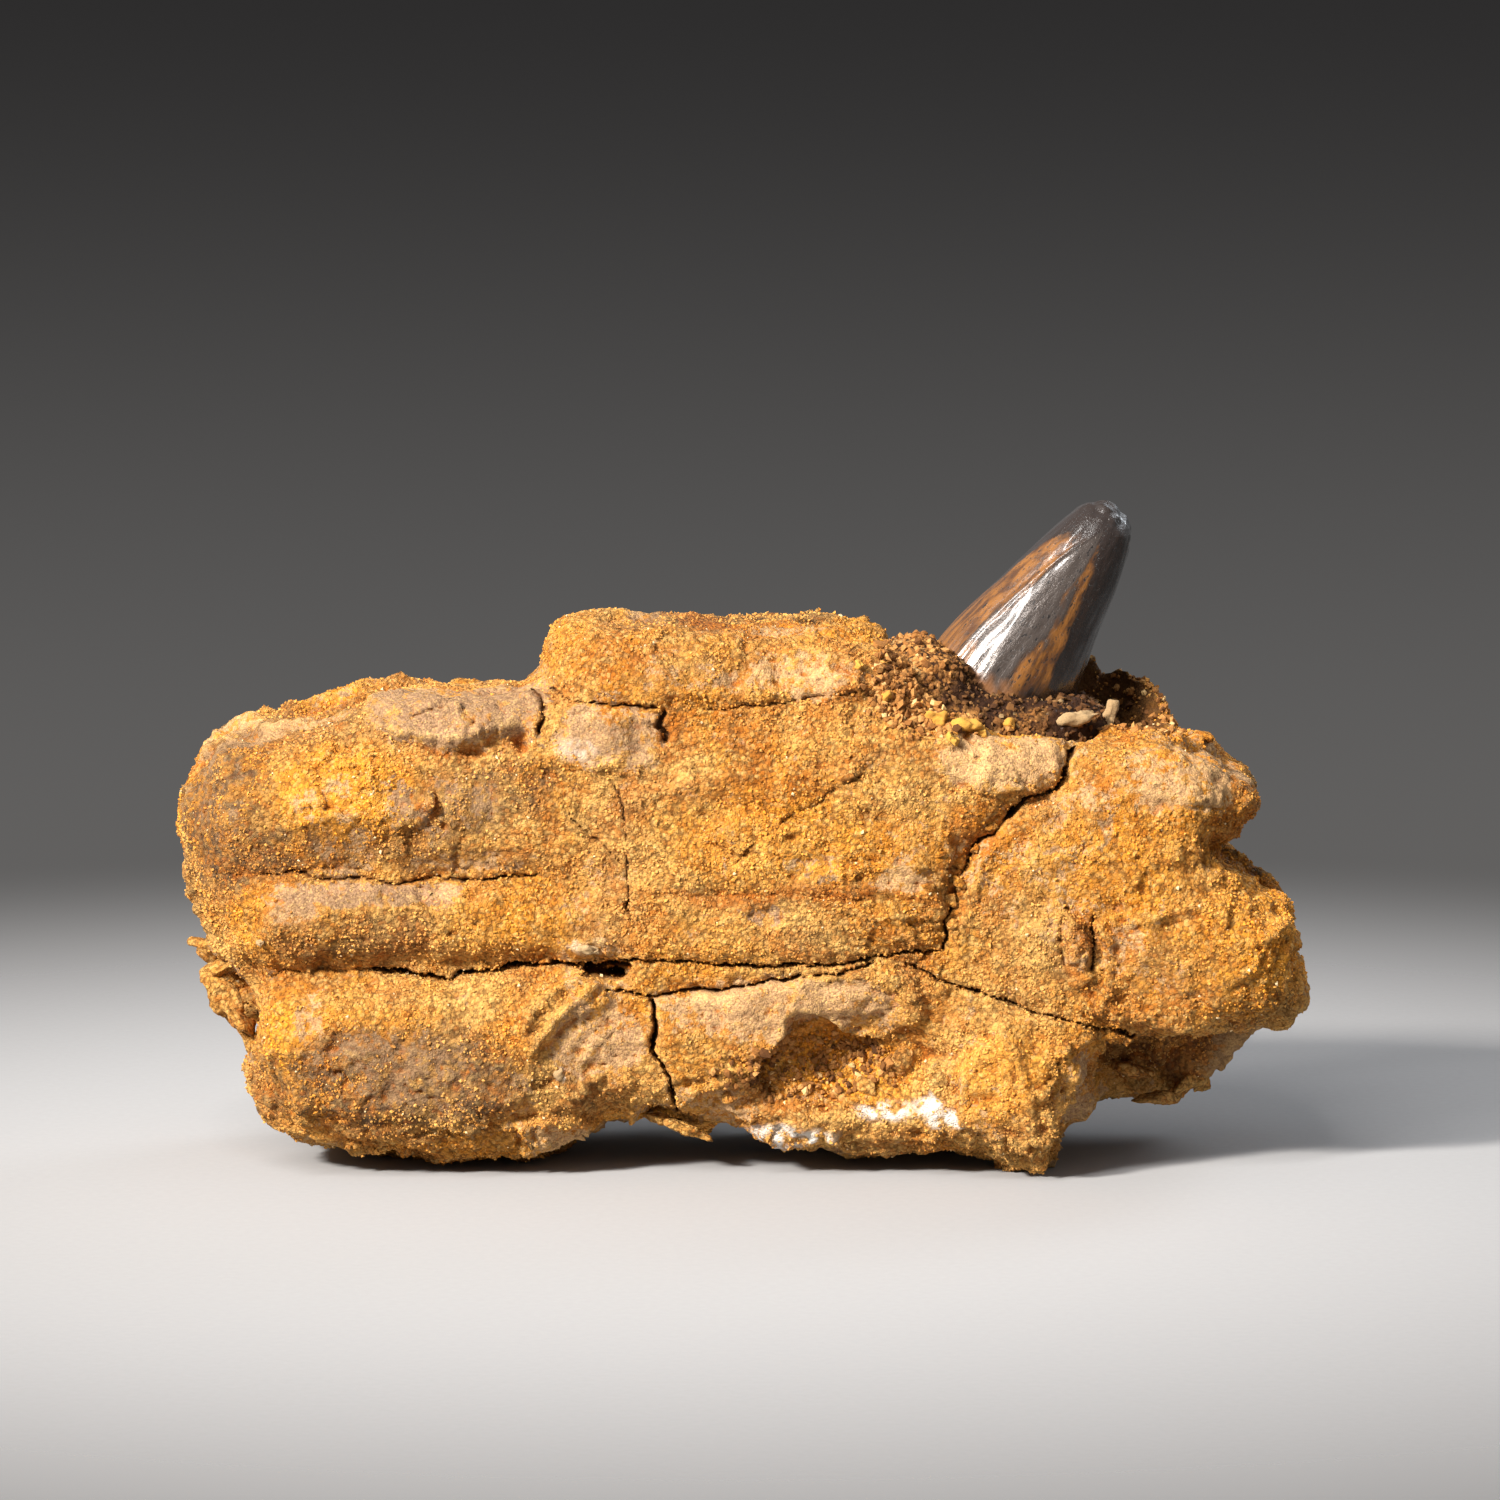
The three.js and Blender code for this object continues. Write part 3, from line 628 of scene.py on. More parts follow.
# The block of bone. Places on its face are (x, z), in millimetres.
jaw = {
    "coarse": 0.9, "fine": 0.5,  # the voxels of the first and of the last remesh
    "closing": 1.25,  # half the width of the widest drawn crack that is filled before the real ones are cut
    "facetBlur": 5, "triangles": 196000,
    "calm": 6,  # rounds of blur on the directions that the surface is pushed along
    "dents": (10, 0.45),  # rounds of blur that find a dent, and how deep a full one is
    "nearFront": 1.9, "nearBack": 1.6, "keptBack": 1.3,  # how far round a crack the mesh is kept finer
    "hollow": ((47.6, -2.6, 61), (6.8, 7.6, 10)),  # the empty socket: centre and half size; its inward faces are painted dark, as painted shade
    # cracks: route, width, depth
    "openCracks": [
        ([(-46.5, 26.7), (-42.8, 26.5), (-37.8, 26.2), (-32.7, 26.7), (-27.7, 27.3), (-22.6, 27.7),
          (-18.2, 27.2), (-14.1, 27.2)], 0.42, 4),
        ([(-9.2, 59.8), (-9.8, 58.2), (-9, 56.8), (-9.6, 55.6)], 0.85, 1.3),
        ([(-19.6, 26.9), (-17.4, 26.1), (-15, 26.3)], 1.8, 4.5),
        ([(-15.7, 50.8), (-15.1, 47.9), (-14.3, 44.2), (-14.2, 35), (-12.9, 32.4)], 0.3, 0.9),
        ([(-60.6, 38.9), (-57, 39.4), (-45.8, 38.3), (-38, 38.2), (-32.6, 38.2), (-25, 38.7)], 0.32, 0.8),
        ([(-26.4, 61.9), (-24.7, 60.4), (-24.2, 58.4), (-25.6, 56.6)], 0.45, 1.4),
        ([(44.6, 33.8), (45.1, 30), (44.6, 26.6)], 0.45, 1.3),
        ([(46.5, 19.4), (52, 17.2), (58, 16.6)], 0.5, 1.6),
        ([(-18.4, 27.9), (-14.1, 27.9), (-5, 27.8), (3.8, 27.3), (11.4, 27.6), (17.7, 28.5),
          (25.9, 29.5)], 0.4, 2.6),
        ([(33.6, 46.2), (36.6, 48.6), (40.4, 49.9), (41.6, 53.7), (42.9, 55.6)], 0.5, 3),
        ([(25.4, 29.4), (26.4, 31), (26.2, 33.4), (27.6, 35.2)], 0.38, 2),
        ([(28.2, 39.6), (29.6, 42.6), (32.4, 44.6)], 0.32, 1.6),
        ([(-17, 24.4), (-11.3, 23.4), (-5, 24.4), (2.6, 25), (11.4, 26.3), (17.7, 27.9)], 0.34, 1.8),
        ([(-11.6, 24), (-10.7, 20.5), (-11, 16.7), (-9, 12.9), (-8, 9.1), (-7.4, 6)], 0.55, 4),
        ([(20.8, 27.6), (26.5, 25), (34.1, 22.7), (40.4, 20.5), (46.7, 19.3)], 0.36, 1.8),
        ([(-24.6, 62.4), (-21.6, 61.1), (-15.5, 60.2), (-10, 60.2)], 0.26, 0.9),
    ],
    "backCracks": [
        ([(-66, 40), (-52, 41.5), (-36, 40), (-20, 42), (-6, 40)], 0.8, 2.2),
        ([(-6, 40), (-9, 32), (-5, 24), (-8, 14), (-6, 7)], 1, 3),
        ([(28, 56), (27, 46), (30, 37), (26, 26), (29, 15)], 1.1, 3),
        ([(30, 37), (42, 34), (55, 36), (68, 33)], 0.7, 2),
        ([(-40, 22), (-28, 24), (-8, 22)], 0.7, 1.8),
        ([(-26, 58), (-20, 52), (-22, 44)], 0.7, 1.8),
    ],
    "hairCracks": [
        [(27.6, 35.2), (27.2, 37.6), (28.2, 39.6)], [(32.4, 44.6), (33.6, 46.2)],
        [(22.8, 33.6), (26.6, 33.2)], [(25, 40.2), (28.4, 39.8)], [(41, 35), (40.3, 31.4), (41.2, 27.6)],
        [(-62.5, 24.6), (-58.4, 25.9), (-53.4, 26.4), (-46, 26.8)],
        [(-21.9, 47.1), (-20.1, 44.9), (-17.2, 42.6), (-15.1, 40.5)],
        [(-34.2, 60.8), (-34.9, 59.2), (-33.4, 57.2)], [(-41, 58.6), (-37.6, 59.6), (-36, 61)],
        [(15.7, 51.8), (12, 50), (9.1, 47.9), (6.3, 46.7), (3.7, 44.5), (-0.6, 40.8)],
        [(5.3, 27.6), (5.7, 25)], [(-5, 59.8), (2.6, 60.4), (15.2, 61.8)],
    ],
    # plateaus: corners, rise, width of the edge
    "plateaus": [
        ([(-47.6, 61.1), (-42.8, 63.4), (-36.5, 63.9), (-27.7, 62.9), (-24.2, 61.4), (-23.1, 58.6),
          (-26.2, 56), (-29.6, 56.9), (-32.7, 54.7), (-37.8, 55.6), (-42.8, 56), (-46.8, 57.8)], 1.2, 0.7),
        ([(-22.6, 59.8), (-17.6, 60.4), (-10.7, 59.6), (-9.5, 56.3), (-10.7, 53.1), (-17.6, 52.2),
          (-22.4, 53.5), (-23.5, 56.9)], 1, 0.8),
        ([(-14.8, 49.3), (-5, 52.2), (13.9, 52.7), (23.7, 48.9), (26.8, 42.2), (25.9, 30.1), (11.4, 28.5),
          (-12.6, 28.8), (-13.9, 35.9)], 0.8, 0.8),
        ([(-10.7, 23.1), (-5, 24), (5.1, 25), (15.2, 27.2), (21.7, 26.7), (23.4, 21.8), (18.9, 18.6),
          (14.5, 18.5), (12.1, 20.3), (9, 21.6), (6, 20.7), (4.5, 18), (2.8, 14.4), (-5, 13.1), (-9.4, 12.3),
          (-11, 16.7)], 1, 0.4),
        ([(-61.1, 35.2), (-57.3, 38.4), (-42.8, 38.2), (-34, 37.6), (-22.6, 35.9), (-17.6, 30.8),
          (-22.6, 28.5), (-39, 27.2), (-55.4, 27.9), (-60.2, 30.1)], 0.9, 1.6),
        ([(-57.3, 23.1), (-51.6, 25), (-40.3, 25.4), (-27.7, 26.7), (-18.9, 26.3), (-16.3, 23.1),
          (-22.6, 15.4), (-30.2, 7.8), (-42.8, 6.5), (-55.4, 9.1), (-60.2, 15.4)], 0.8, 2.2),
        ([(-27.4, 21.8), (-22.6, 25), (-17.9, 25), (-18.9, 22.7), (-22.6, 20.5), (-25.2, 18), (-26.8, 16.1),
          (-27.9, 19.3)], 0.9, 0.3),
        ([(28.4, 39.7), (34.1, 46.1), (40.4, 48.6), (45.4, 49.9), (55.5, 44.8), (61.8, 41), (69.3, 33.3),
          (71.9, 24.4), (61.8, 18), (46.7, 19.9), (32.8, 24.4), (27.1, 28.8)], 0.9, 1.2),
        ([(25.2, 56.3), (30.9, 57.6), (37.8, 56.5), (40.6, 54.7), (40.4, 51.2), (37.2, 49.6), (32.8, 49.3),
          (26.5, 51.2)], 1.2, 1),
        ([(46.4, 53.1), (53, 55.3), (59.9, 54.7), (64.3, 51.2), (64.3, 47.3), (55.5, 47.6),
          (47.9, 48.6)], 0.9, 1.4),
        ([(28.4, 15.4), (34.1, 20.5), (40.4, 21.8), (45.4, 18.6), (45.1, 12.9), (40.4, 4), (37.2, 1.2),
          (32.8, 4), (27.8, 7.8)], 1.2, 0.8),
        ([(40.1, 15.4), (45.3, 18), (46, 11.6), (41.6, 4), (38.5, 2), (39.1, 9.1)], -1.6, 0.6),
        ([(4.5, 17.4), (6.3, 20.3), (12.1, 19.9), (14.7, 18), (20.8, 18), (26.5, 15.4), (27.8, 10.3),
          (20.2, 9.1), (7.6, 8.4), (0, 9.7), (2.6, 13.9)], -1.1, 0.6),
        ([(46.8, 17.2), (53.4, 16.6), (64.8, 17.8), (71.2, 20.4), (68, 13), (61, 10), (54.6, 6),
          (45.8, 6)], -4.6, 0.4),
        ([(0.7, 64.6), (7.6, 66.5), (15.2, 65.8), (14.5, 62), (7.6, 60.6), (0.7, 61)], 0.5, 0.4),
        ([(-22.6, 62.7), (-19.5, 69), (-14.4, 71), (-2.5, 72.2), (13.9, 70.6), (20.2, 67.8), (17.7, 62.7),
          (2.6, 61.4), (-10, 60.7)], 0.8, 0.7),
        ([(-28.3, 6.5), (-24.5, 8), (-18.9, 7.2), (-19.5, 4), (-23.9, 2), (-27.7, 2.7)], 1, 0.3),
        ([(41.2, 34.7), (43.2, 33.2), (44.4, 30), (43.6, 27.1), (41.6, 27.9), (40.8, 31.5)], 1.7, 0.3),
        ([(-22, 30.8), (-19.5, 31.4), (-16.6, 30.5), (-16.8, 28.8), (-20.8, 28.7)], 0.5, 0.25),
    ],
    "backPlateaus": [
        ([(-70, 52), (-58, 57), (-44, 60), (-30, 58), (-27, 50), (-40, 44), (-58, 43), (-70, 42)], 1.3, 0.6),
        ([(-64, 36), (-44, 39), (-22, 38), (-14, 30), (-30, 25), (-56, 24)], 1, 0.8),
        ([(-8, 58), (12, 60), (22, 52), (26, 40), (20, 30), (2, 27), (-10, 34)], 1.2, 0.5),
        ([(30, 46), (46, 50), (60, 44), (66, 32), (60, 24), (44, 22), (32, 30)], 1.1, 0.7),
        ([(-52, 20), (-30, 22), (-20, 14), (-26, 5), (-46, 5)], 1, 0.9),
        ([(2, 20), (24, 22), (36, 14), (30, 5), (8, 5)], -1.4, 0.5),
    ],
    # furrows: route, width, depth
    "furrows": [
        ([(-66.5, 37.9), (-61.7, 39.2), (-55.4, 39.7), (-42.8, 38.8), (-32.7, 38.3),
          (-22.6, 38.9)], 2.6, 0.5),
        ([(-66.5, 37.9), (-61.7, 39.2), (-55.4, 39.7), (-42.8, 38.8), (-32.7, 38.3)], 0.6, 0.35),
        ([(-66, 26.8), (-60.2, 25.4), (-52.9, 26.3), (-40.3, 26.6), (-30.2, 27.2), (-20, 27.4)], 3.6, 1.6),
        ([(-25.2, 52.4), (-20.1, 48.6), (-17.2, 42.6), (-14.8, 39.7)], 1.6, 0.6),
        ([(-13.6, 36.6), (0, 36.8), (12, 36.6), (25.2, 36)], 0.8, 0.5),
        ([(25.4, 29.2), (27.8, 38.4), (29, 42.2), (32.8, 45.4), (36.6, 48.6), (41, 50.6),
          (43.2, 55.6)], 2.4, 0.7),
        ([(46.7, 19.3), (55, 17.5), (64, 16.5)], 1.6, 0.6),
        ([(58, 41.5), (63.5, 41), (68, 39)], 3, 1.6),
    ],
    # ridges and steps: route, width, rise
    "ridges": [
        ([(45.6, 34.4), (46.7, 30), (46.4, 25.1), (44.8, 21.1)], 1.1, 1),
        ([(12, 40), (18, 40.4), (25, 39.8)], 0.8, 0.6),
        ([(14, 33.8), (20, 34.2), (26, 34)], 0.8, 0.6),
        ([(16, 31.4), (21, 31.2), (25.4, 31.4)], 0.7, 0.5),
        ([(29, 36), (30.4, 41), (34.4, 45)], 0.9, 0.7),
        ([(64, 30), (68, 31.6), (71.6, 31)], 1.4, 0.9),
        ([(48, 34.6), (54, 34), (62, 35)], 0.9, 0.5),
        ([(-17.9, 23.1), (-22.4, 21.1), (-24.5, 19.1), (-26.8, 15.8)], 1.1, 1.2),
        ([(-18.2, 26.3), (-22.6, 24.4), (-25.8, 21.8), (-28.7, 18)], 1, 0.9),
        ([(-14.5, 21), (-18.5, 17), (-21.5, 13)], 0.9, 0.6),
        ([(-8.3, 10.5), (-2.5, 12.4), (2.8, 13.9)], 1, 1),
        ([(-10, 12.3), (-5, 13.1), (2.8, 14.4), (4.5, 17.9), (6, 20.5), (9, 21.4), (12.1, 20.2), (14.4, 18.3),
          (16.8, 18.6), (22.1, 20.5)], 1, 0.7),
        ([(-24.5, 62.6), (-20.4, 65.8), (-16, 69.6)], 0.9, 0.6),
        ([(33, 21.5), (36, 13), (38, 3)], 1.6, 1),
        ([(-46, 57.2), (-38, 56.6), (-30.5, 57.6), (-26, 59)], 1.2, 0.7),
    ],
    # swells and dents: x, z, wide, tall, rise
    "bumps": [
        (19.6, 16, 2.6, 2.4, 1.5), (25.2, 12.9, 2.2, 2.4, 1.4), (-39.3, 48.4, 0.9, 1.1, 1),
        (-38, 48, 0.6, 1.1, -1.1), (-27.6, 56.2, 1.5, 1.2, -1.5), (-33.4, 54.6, 1.7, 0.8, -0.8),
        (-57.8, 17.9, 3.4, 4.4, 0.9), (-19.1, 30.1, 2.8, 1.3, 0.6), (12.9, 62.3, 2.3, 1.4, 0.7),
        (-15.9, 27.2, 2.2, 1, -2.4), (3.4, 13.4, 1.4, 2.6, -1.6),
    ],
    # where the outline stands further out or in, all the way through the block, in the same way
    "outline": [
        (-74, 47, 7, 11, -1.2), (-67, 14, 6, 12, -2.6), (-63, 58.5, 10, 4, -0.9), (-27.5, 66.5, 4, 5, -1),
        (67, 48.5, 3.6, 4, 1.8), (65.5, 40.6, 4.5, 2.2, -2.4), (69.5, 35.5, 3, 3, 1),
        (75, 20.5, 3.6, 2.6, 1.2), (69.5, 12.5, 6, 3.2, -1.6), (60.5, 7.5, 2.4, 2.4, 1.4),
        (43.5, 2, 3.2, 4.5, -1.8), (-13, 4.5, 5, 3, 0.9), (59.5, 56, 3, 2.6, -1.1), (8.5, 1.5, 6, 1.6, -0.8),
        (71.5, 27.6, 2, 1.2, -0.8),
    ],
    # bare, worn bone: x, z, wide, tall, strength
    "worn": [
        (-68.4, 49.6, 4.4, 5.4, 0.42), (-38.1, 48.6, 7.6, 5.1, 0.45), (-35.9, 60.6, 12, 5.4, 0.85),
        (-16.3, 56.9, 6.9, 4.5, 0.75), (-46.6, 36.6, 13.6, 1.7, 0.8), (-56.4, 35.6, 3.6, 2.8, 0.8),
        (-42.8, 14.7, 11.1, 4.8, 0.5), (-33, 40.6, 8, 1.4, 0.5), (-54.2, 19, 1.9, 5.4, 0.45),
        (-18.2, 17.7, 6.9, 4.8, 0.75), (-23.3, 5, 4.4, 2.6, 0.8), (7.9, 63.9, 7.3, 2.9, 0.6),
        (-5.6, 63.7, 8.2, 1.9, 0.45), (5.7, 22.2, 16.4, 4.1, 0.8), (9.5, 39.7, 4, 2.3, 0.5),
        (20.8, 38.7, 4.4, 1.8, 0.7), (3.3, 34.1, 1.9, 1.3, 0.6), (32.9, 53.5, 7.9, 3.8, 0.9),
        (55.6, 51, 9.4, 4.2, 0.68), (43.4, 10, 3, 6.5, 0.6), (-19.1, 30.1, 2.8, 1.3, 0.8),
        (33.5, 42, 4, 4, 0.35), (-3, 9, 6, 2.6, 0.5),
    ],
    # white, chalky streaks, in the same way
    "chalk": [
        (6.4, 5, 5.6, 1.5, 1), (18.4, 8.7, 3.4, 1.3, 1), (23.6, 9.6, 1.8, 1.4, 1), (26.2, 7.6, 2.4, 1, 1),
        (-20.8, 54.9, 2.8, 1.3, 0.25), (-20.5, 30.3, 1.4, 0.6, 0.4), (-22.6, 13.6, 0.6, 0.8, 0.8),
    ],
    "stains": {
        # (58, 12) and (56, 12.5) darken the undercut at the lower right: painted shade under the overhang
        "rust": [
            (-38.9, 48.2, 1.5, 1.7, 1), (6, 36.6, 21, 0.8, 0.8), (58, 12, 13, 4.6, 0.35),
            (27, 36.5, 1.6, 5, 0.5), (31, 43, 3, 1.6, 0.5), (-16, 67, 7, 3, 0.4), (0, 50.5, 14, 1.6, 0.5),
            (10, 17, 10, 2, 0.4), (6, 9.6, 9, 2.4, 0.6), (12.9, 62.3, 2.3, 1.3, 0.9), (43, 31, 2, 5, 0.7),
            (14, 36.7, 12, 0.9, 0.7), (56, 12.5, 12, 3.6, 0.3), (-22.4, 6.6, 3.5, 0.9, 0.6),
            (-28, 56.4, 3, 2, 0.6), (-9.6, 57, 1.5, 3.4, 0.6), (-58.6, 25.4, 6, 1.2, 0.5),
        ],
        "brown": [
            (-68, 48, 9.5, 14, 0.95), (-50, 43, 16, 2.8, 0.6), (-50, 32.5, 14, 4.5, 0.55),
            (-36.5, 47, 8, 5, 0.7), (-43, 13, 17, 7.5, 1), (-57, 41.8, 12, 3.4, 0.8),
            # (60, 12.5) darkens the undercut at the lower right: painted shade under the overhang
            (-54, 57.5, 12, 2.6, 0.5), (60, 12.5, 14, 4.6, 1), (-36, 59.5, 12, 3, 0.35),
            (-28, 50.5, 7, 3.5, 0.8), (-38, 40.4, 14, 1.3, 0.6), (-52, 30.8, 7, 2.2, 0.6),
            (-16.5, 57, 5, 3, 0.6), (-60.5, 13, 4, 5, 0.8), (24, 60.5, 4, 2, 0.4), (41, 30, 4, 5, 0.35),
            (67, 21, 5, 4, 0.6), (-45, 31.5, 10, 2.5, 0.35), (8, 37.5, 14, 2.6, 0.35), (-6, 64, 8, 2, 0.4),
            (56, 27, 8, 4, 0.35), (5, 21, 14, 3, 0.2), (64, 51, 4, 4, 0.4),
        ],
        "bright": [
            (-50.5, 49.4, 10.5, 6, 0.9), (-61.8, 33, 3.2, 5, 0.8), (-57.8, 17.9, 3.2, 4.2, 1),
            (-29, 17, 3, 4, 0.5), (46, 40, 8, 7, 0.45), (64.5, 31, 7, 9, 0.6), (3, 44, 14, 7, 0.6),
            # (10.5, 14) is the recess's orange and also painted light where the ledge above shades it
            (-22, 67, 4, 4, 0.5), (10.5, 14, 11, 5, 1), (-32, 33, 6, 3, 0.6), (33, 14, 6, 6, 0.6),
            (-46, 20.5, 9, 2, 0.5),
        ],
        "grey": [
            (-68.4, 49, 6, 7, 0.6), (-46.6, 36.6, 14, 2.6, 0.8), (-38.1, 48.6, 8.6, 6.1, 0.6),
            (-35.9, 59.8, 13, 5, 0.8), (-42.8, 14.7, 12.1, 6.8, 0.6), (-18.2, 17.7, 7.9, 5.8, 0.35),
            (5.7, 22.2, 17.4, 5.1, 0.15), (43.6, 9.1, 3.4, 6.5, 0.6), (3.3, 34.1, 2.9, 2.3, 0.8),
            (9.5, 39.7, 4, 2.3, 0.6), (-16.3, 56.9, 7.9, 5.5, 0.5),
        ],
    },
}


def jawForm():
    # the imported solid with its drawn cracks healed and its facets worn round
    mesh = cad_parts["jaw_bone"].data.copy()
    mesh = modified(mesh, "REMESH", mode="VOXEL", voxel_size=jaw["coarse"] * mm)
    for push in (jaw["closing"], -jaw["closing"]):
        points, normals, _ = readMesh(mesh)
        writePoints(mesh, points + push * normals)
        mesh = modified(mesh, "REMESH", mode="VOXEL", voxel_size=jaw["coarse"] * mm)
    mesh = largestPart(mesh)
    points, _, edges = readMesh(mesh)
    points = pressed(blurred(points, edges, jaw["facetBlur"]), *jaw["hollow"])
    writePoints(mesh, blurred(points, edges, 2))
    return mesh


def pressed(points, centre, half):
    # the surface as a ball pressed into it would leave it
    offset = (points - centre) / half
    far = np.linalg.norm(offset, axis=1)[:, None]
    return np.where(far < 1, centre + offset / np.maximum(far, 0.2) * half, points)


rim = {
    "centre": (47.6, -2.0), "radius": 8.3, "thick": 1.5, "base": 50, "turns": (-25, 165),
    "crest": [53.5, 56.5, 60.0, 62.8, 63.6, 63.0, 59.0],  # heights along it, from the right to the left
    "ragged": ((1.6, 3.2), (1.3, 1.2)), "uneven": (0.7, 4),  # of its crest and of its faces: height, size
    "steps": 60, "levels": 14,
}


def socketRim():
    # the broken wall of the empty socket, a thin curved shell with a ragged crest
    steps, levels = rim["steps"], rim["levels"]
    share = np.linspace(0, 1, steps + 1)
    turn = np.radians(rim["turns"][0] + share * (rim["turns"][1] - rim["turns"][0]))
    crest = np.interp(share, np.linspace(0, 1, len(rim["crest"])), rim["crest"])
    for rise, size in rim["ragged"]:
        crest = crest + rise * noise(np.stack([share * 40, share * 0, share * 0], 1), size)
    bulge, size = rim["uneven"]
    loop = []
    for level in [*range(levels), *reversed(range(levels))]:
        thick = rim["thick"] if len(loop) >= levels else 0
        z = rim["base"] + (crest - rim["base"]) * level / (levels - 1)
        radius = rim["radius"] - thick + bulge * noise(np.stack([share * 30, z, z * 0], 1), size)
        x = rim["centre"][0] + radius * np.cos(turn)
        y = rim["centre"][1] + radius * np.sin(turn)
        loop.append(np.stack([x, y, z], 1))
    around, count = len(loop), steps + 1
    i, j = np.meshgrid(np.arange(around), np.arange(steps), indexing="ij")
    a, b = i * count + j, ((i + 1) % around) * count + j
    mesh = meshOf("rim", np.concatenate(loop), np.stack([a, a + 1, b + 1, b], -1).reshape(-1, 4))
    with editing(mesh) as scratch:
        bmesh.ops.holes_fill(scratch, edges=[e for e in scratch.edges if e.is_boundary])
        bmesh.ops.recalc_face_normals(scratch, faces=scratch.faces)
    return mesh


# thin and sharp forms that the worn block has lost: place, half size, turn, seed
jawRocks = [
    ((51.4, -6, 10.4), (7.4, 7, 2.6), (0, 8, 0), 15), ((-6.8, -11, 6.2), (3.8, 4.4, 1), (0, 20, 0), 16),
    ((37, -16, 4.4), (4.4, 5, 5.6), (0, 12, 0), 17), ((-64, 0, 22), (5, 7.6, 6.6), (0, 20, 10), 18),
    ((43.6, -12.5, 55.2), (2.2, 1.8, 1.1), (0, 0, 0), 21), ((59.6, 0, 54.2), (4.4, 4.6, 1.6), (0, 24, 0), 22),
    ((55.8, -6, 55.2), (2.6, 2.4, 1.3), (10, 10, 0), 23),
    ((51.4, -10.4, 54.6), (2.6, 2.2, 1.3), (0, 6, 0), 24),
]


# the roughness of the block, in millimetres: size of the lumps, then how far they rise
relief = {
    "swell": (8.5, 0.6), "hump": (4.1, 0.35), "inset": 0.75, "facet": (5.2, 0.55), "smallFacet": (2.6, 0.3),
    "ledge": 3.1, "wrinkle": (1.7, 0.3), "sand": 0.2, "grain": (1.5, 0.26), "crumb": (0.9, 0.12),
    "chip": (5.0, 0.7), "lump": (2.6, 1.05), "fibre": (0.9, 0.2), "crease": (2.3, 0.25),
    "fissure": (3.4, 0.35), "layer": (2.4, 0.25), "shelf": (15, 1.1), "backRise": 1.4,
}
crackLook = {
    "coarse": (4.0, 0.5), "fine": (1.2, 0.28),  # how a drawn line wanders: size and amount
    "lip": 0.25,
    "hair": (0.22, 0.4), "hairDark": 0.45,  # width and depth of a hair crack, and how dark its painted shade is
}


def crackProfile(points, route, width, depth, reach):
    ragged = wander(wander(points, *crackLook["coarse"]), *crackLook["fine"])
    far, along = routeDistance(ragged, route)
    ends = ramp(0, 0.06, along) * ramp(1, 0.94, along)
    uneven = np.clip(1 + 0.8 * noise(points + 17, 3.1) + 0.4 * otherNoise(points, 1.4), 0.25, 1.8)
    half = width / 2 * (0.25 + 0.75 * ends) * uneven
    inside = ramp(half * 1.15, half * 0.5, far) * reach
    return depth * inside + crackLook["lip"] * ramp(half * 3.5, half, far) * reach, inside


def strongest(values, points, patches, where):
    for x, z, wide, tall, strength in patches:
        values = np.maximum(values, strength * patch(points, x, z, wide, tall) * where)
    return values


def drawn(points, route, width, rise, start, end):
    # a line that fades out to its sides, before start and after end, both a share of its length
    far, along = routeDistance(points, route)
    return rise * ramp(width, 0, far) * ramp(0, start, along) * ramp(1, end, along)


def jawMarks(points, ragged, face, seen):
    # bare bone, chalk and stains, from 0 to 1
    nothing, behind = np.zeros(len(points)), 1 - face
    worn = 0.35 * ramp(0.05, 0.5, noise(points + 5, 13)) + 0.55 * behind * ramp(0.0, 0.35, noise(points, 19))
    worn = strongest(worn, ragged, jaw["worn"], seen)
    worn = np.clip(worn + 0.3 * noise(points, 4.2) + 0.2 * noise(points, 1.7), 0, 1)
    chalk = strongest(nothing, wander(points, 1.2, 0.6), jaw["chalk"], points[:, 1] < -5)
    chalk *= ramp(-0.32, -0.08, otherNoise(points, 1.6) + 0.5 * noise(points, 0.7))
    stains = {
        "grey": 0.6 * behind * ramp(-0.1, 0.4, otherNoise(points, 18)),
        "brown": 0.9 * behind * ramp(0.05, 0.35, otherNoise(wander(points + 11, 6, 2), 17)),
        "bright": 0.8 * behind * ramp(0.1, 0.4, noise(wander(points + 23, 6, 2), 15)),
        "rust": 0.7 * behind * ramp(0.15, 0.4, otherNoise(points + 31, 11)),
    }
    blotched = wander(ragged, 7.0, 1.6)
    for name, patches in jaw["stains"].items():
        stains[name] = np.clip(strongest(stains[name], blotched, patches, seen), 0, 1)
    return {"worn": worn, "chalk": chalk, **stains}


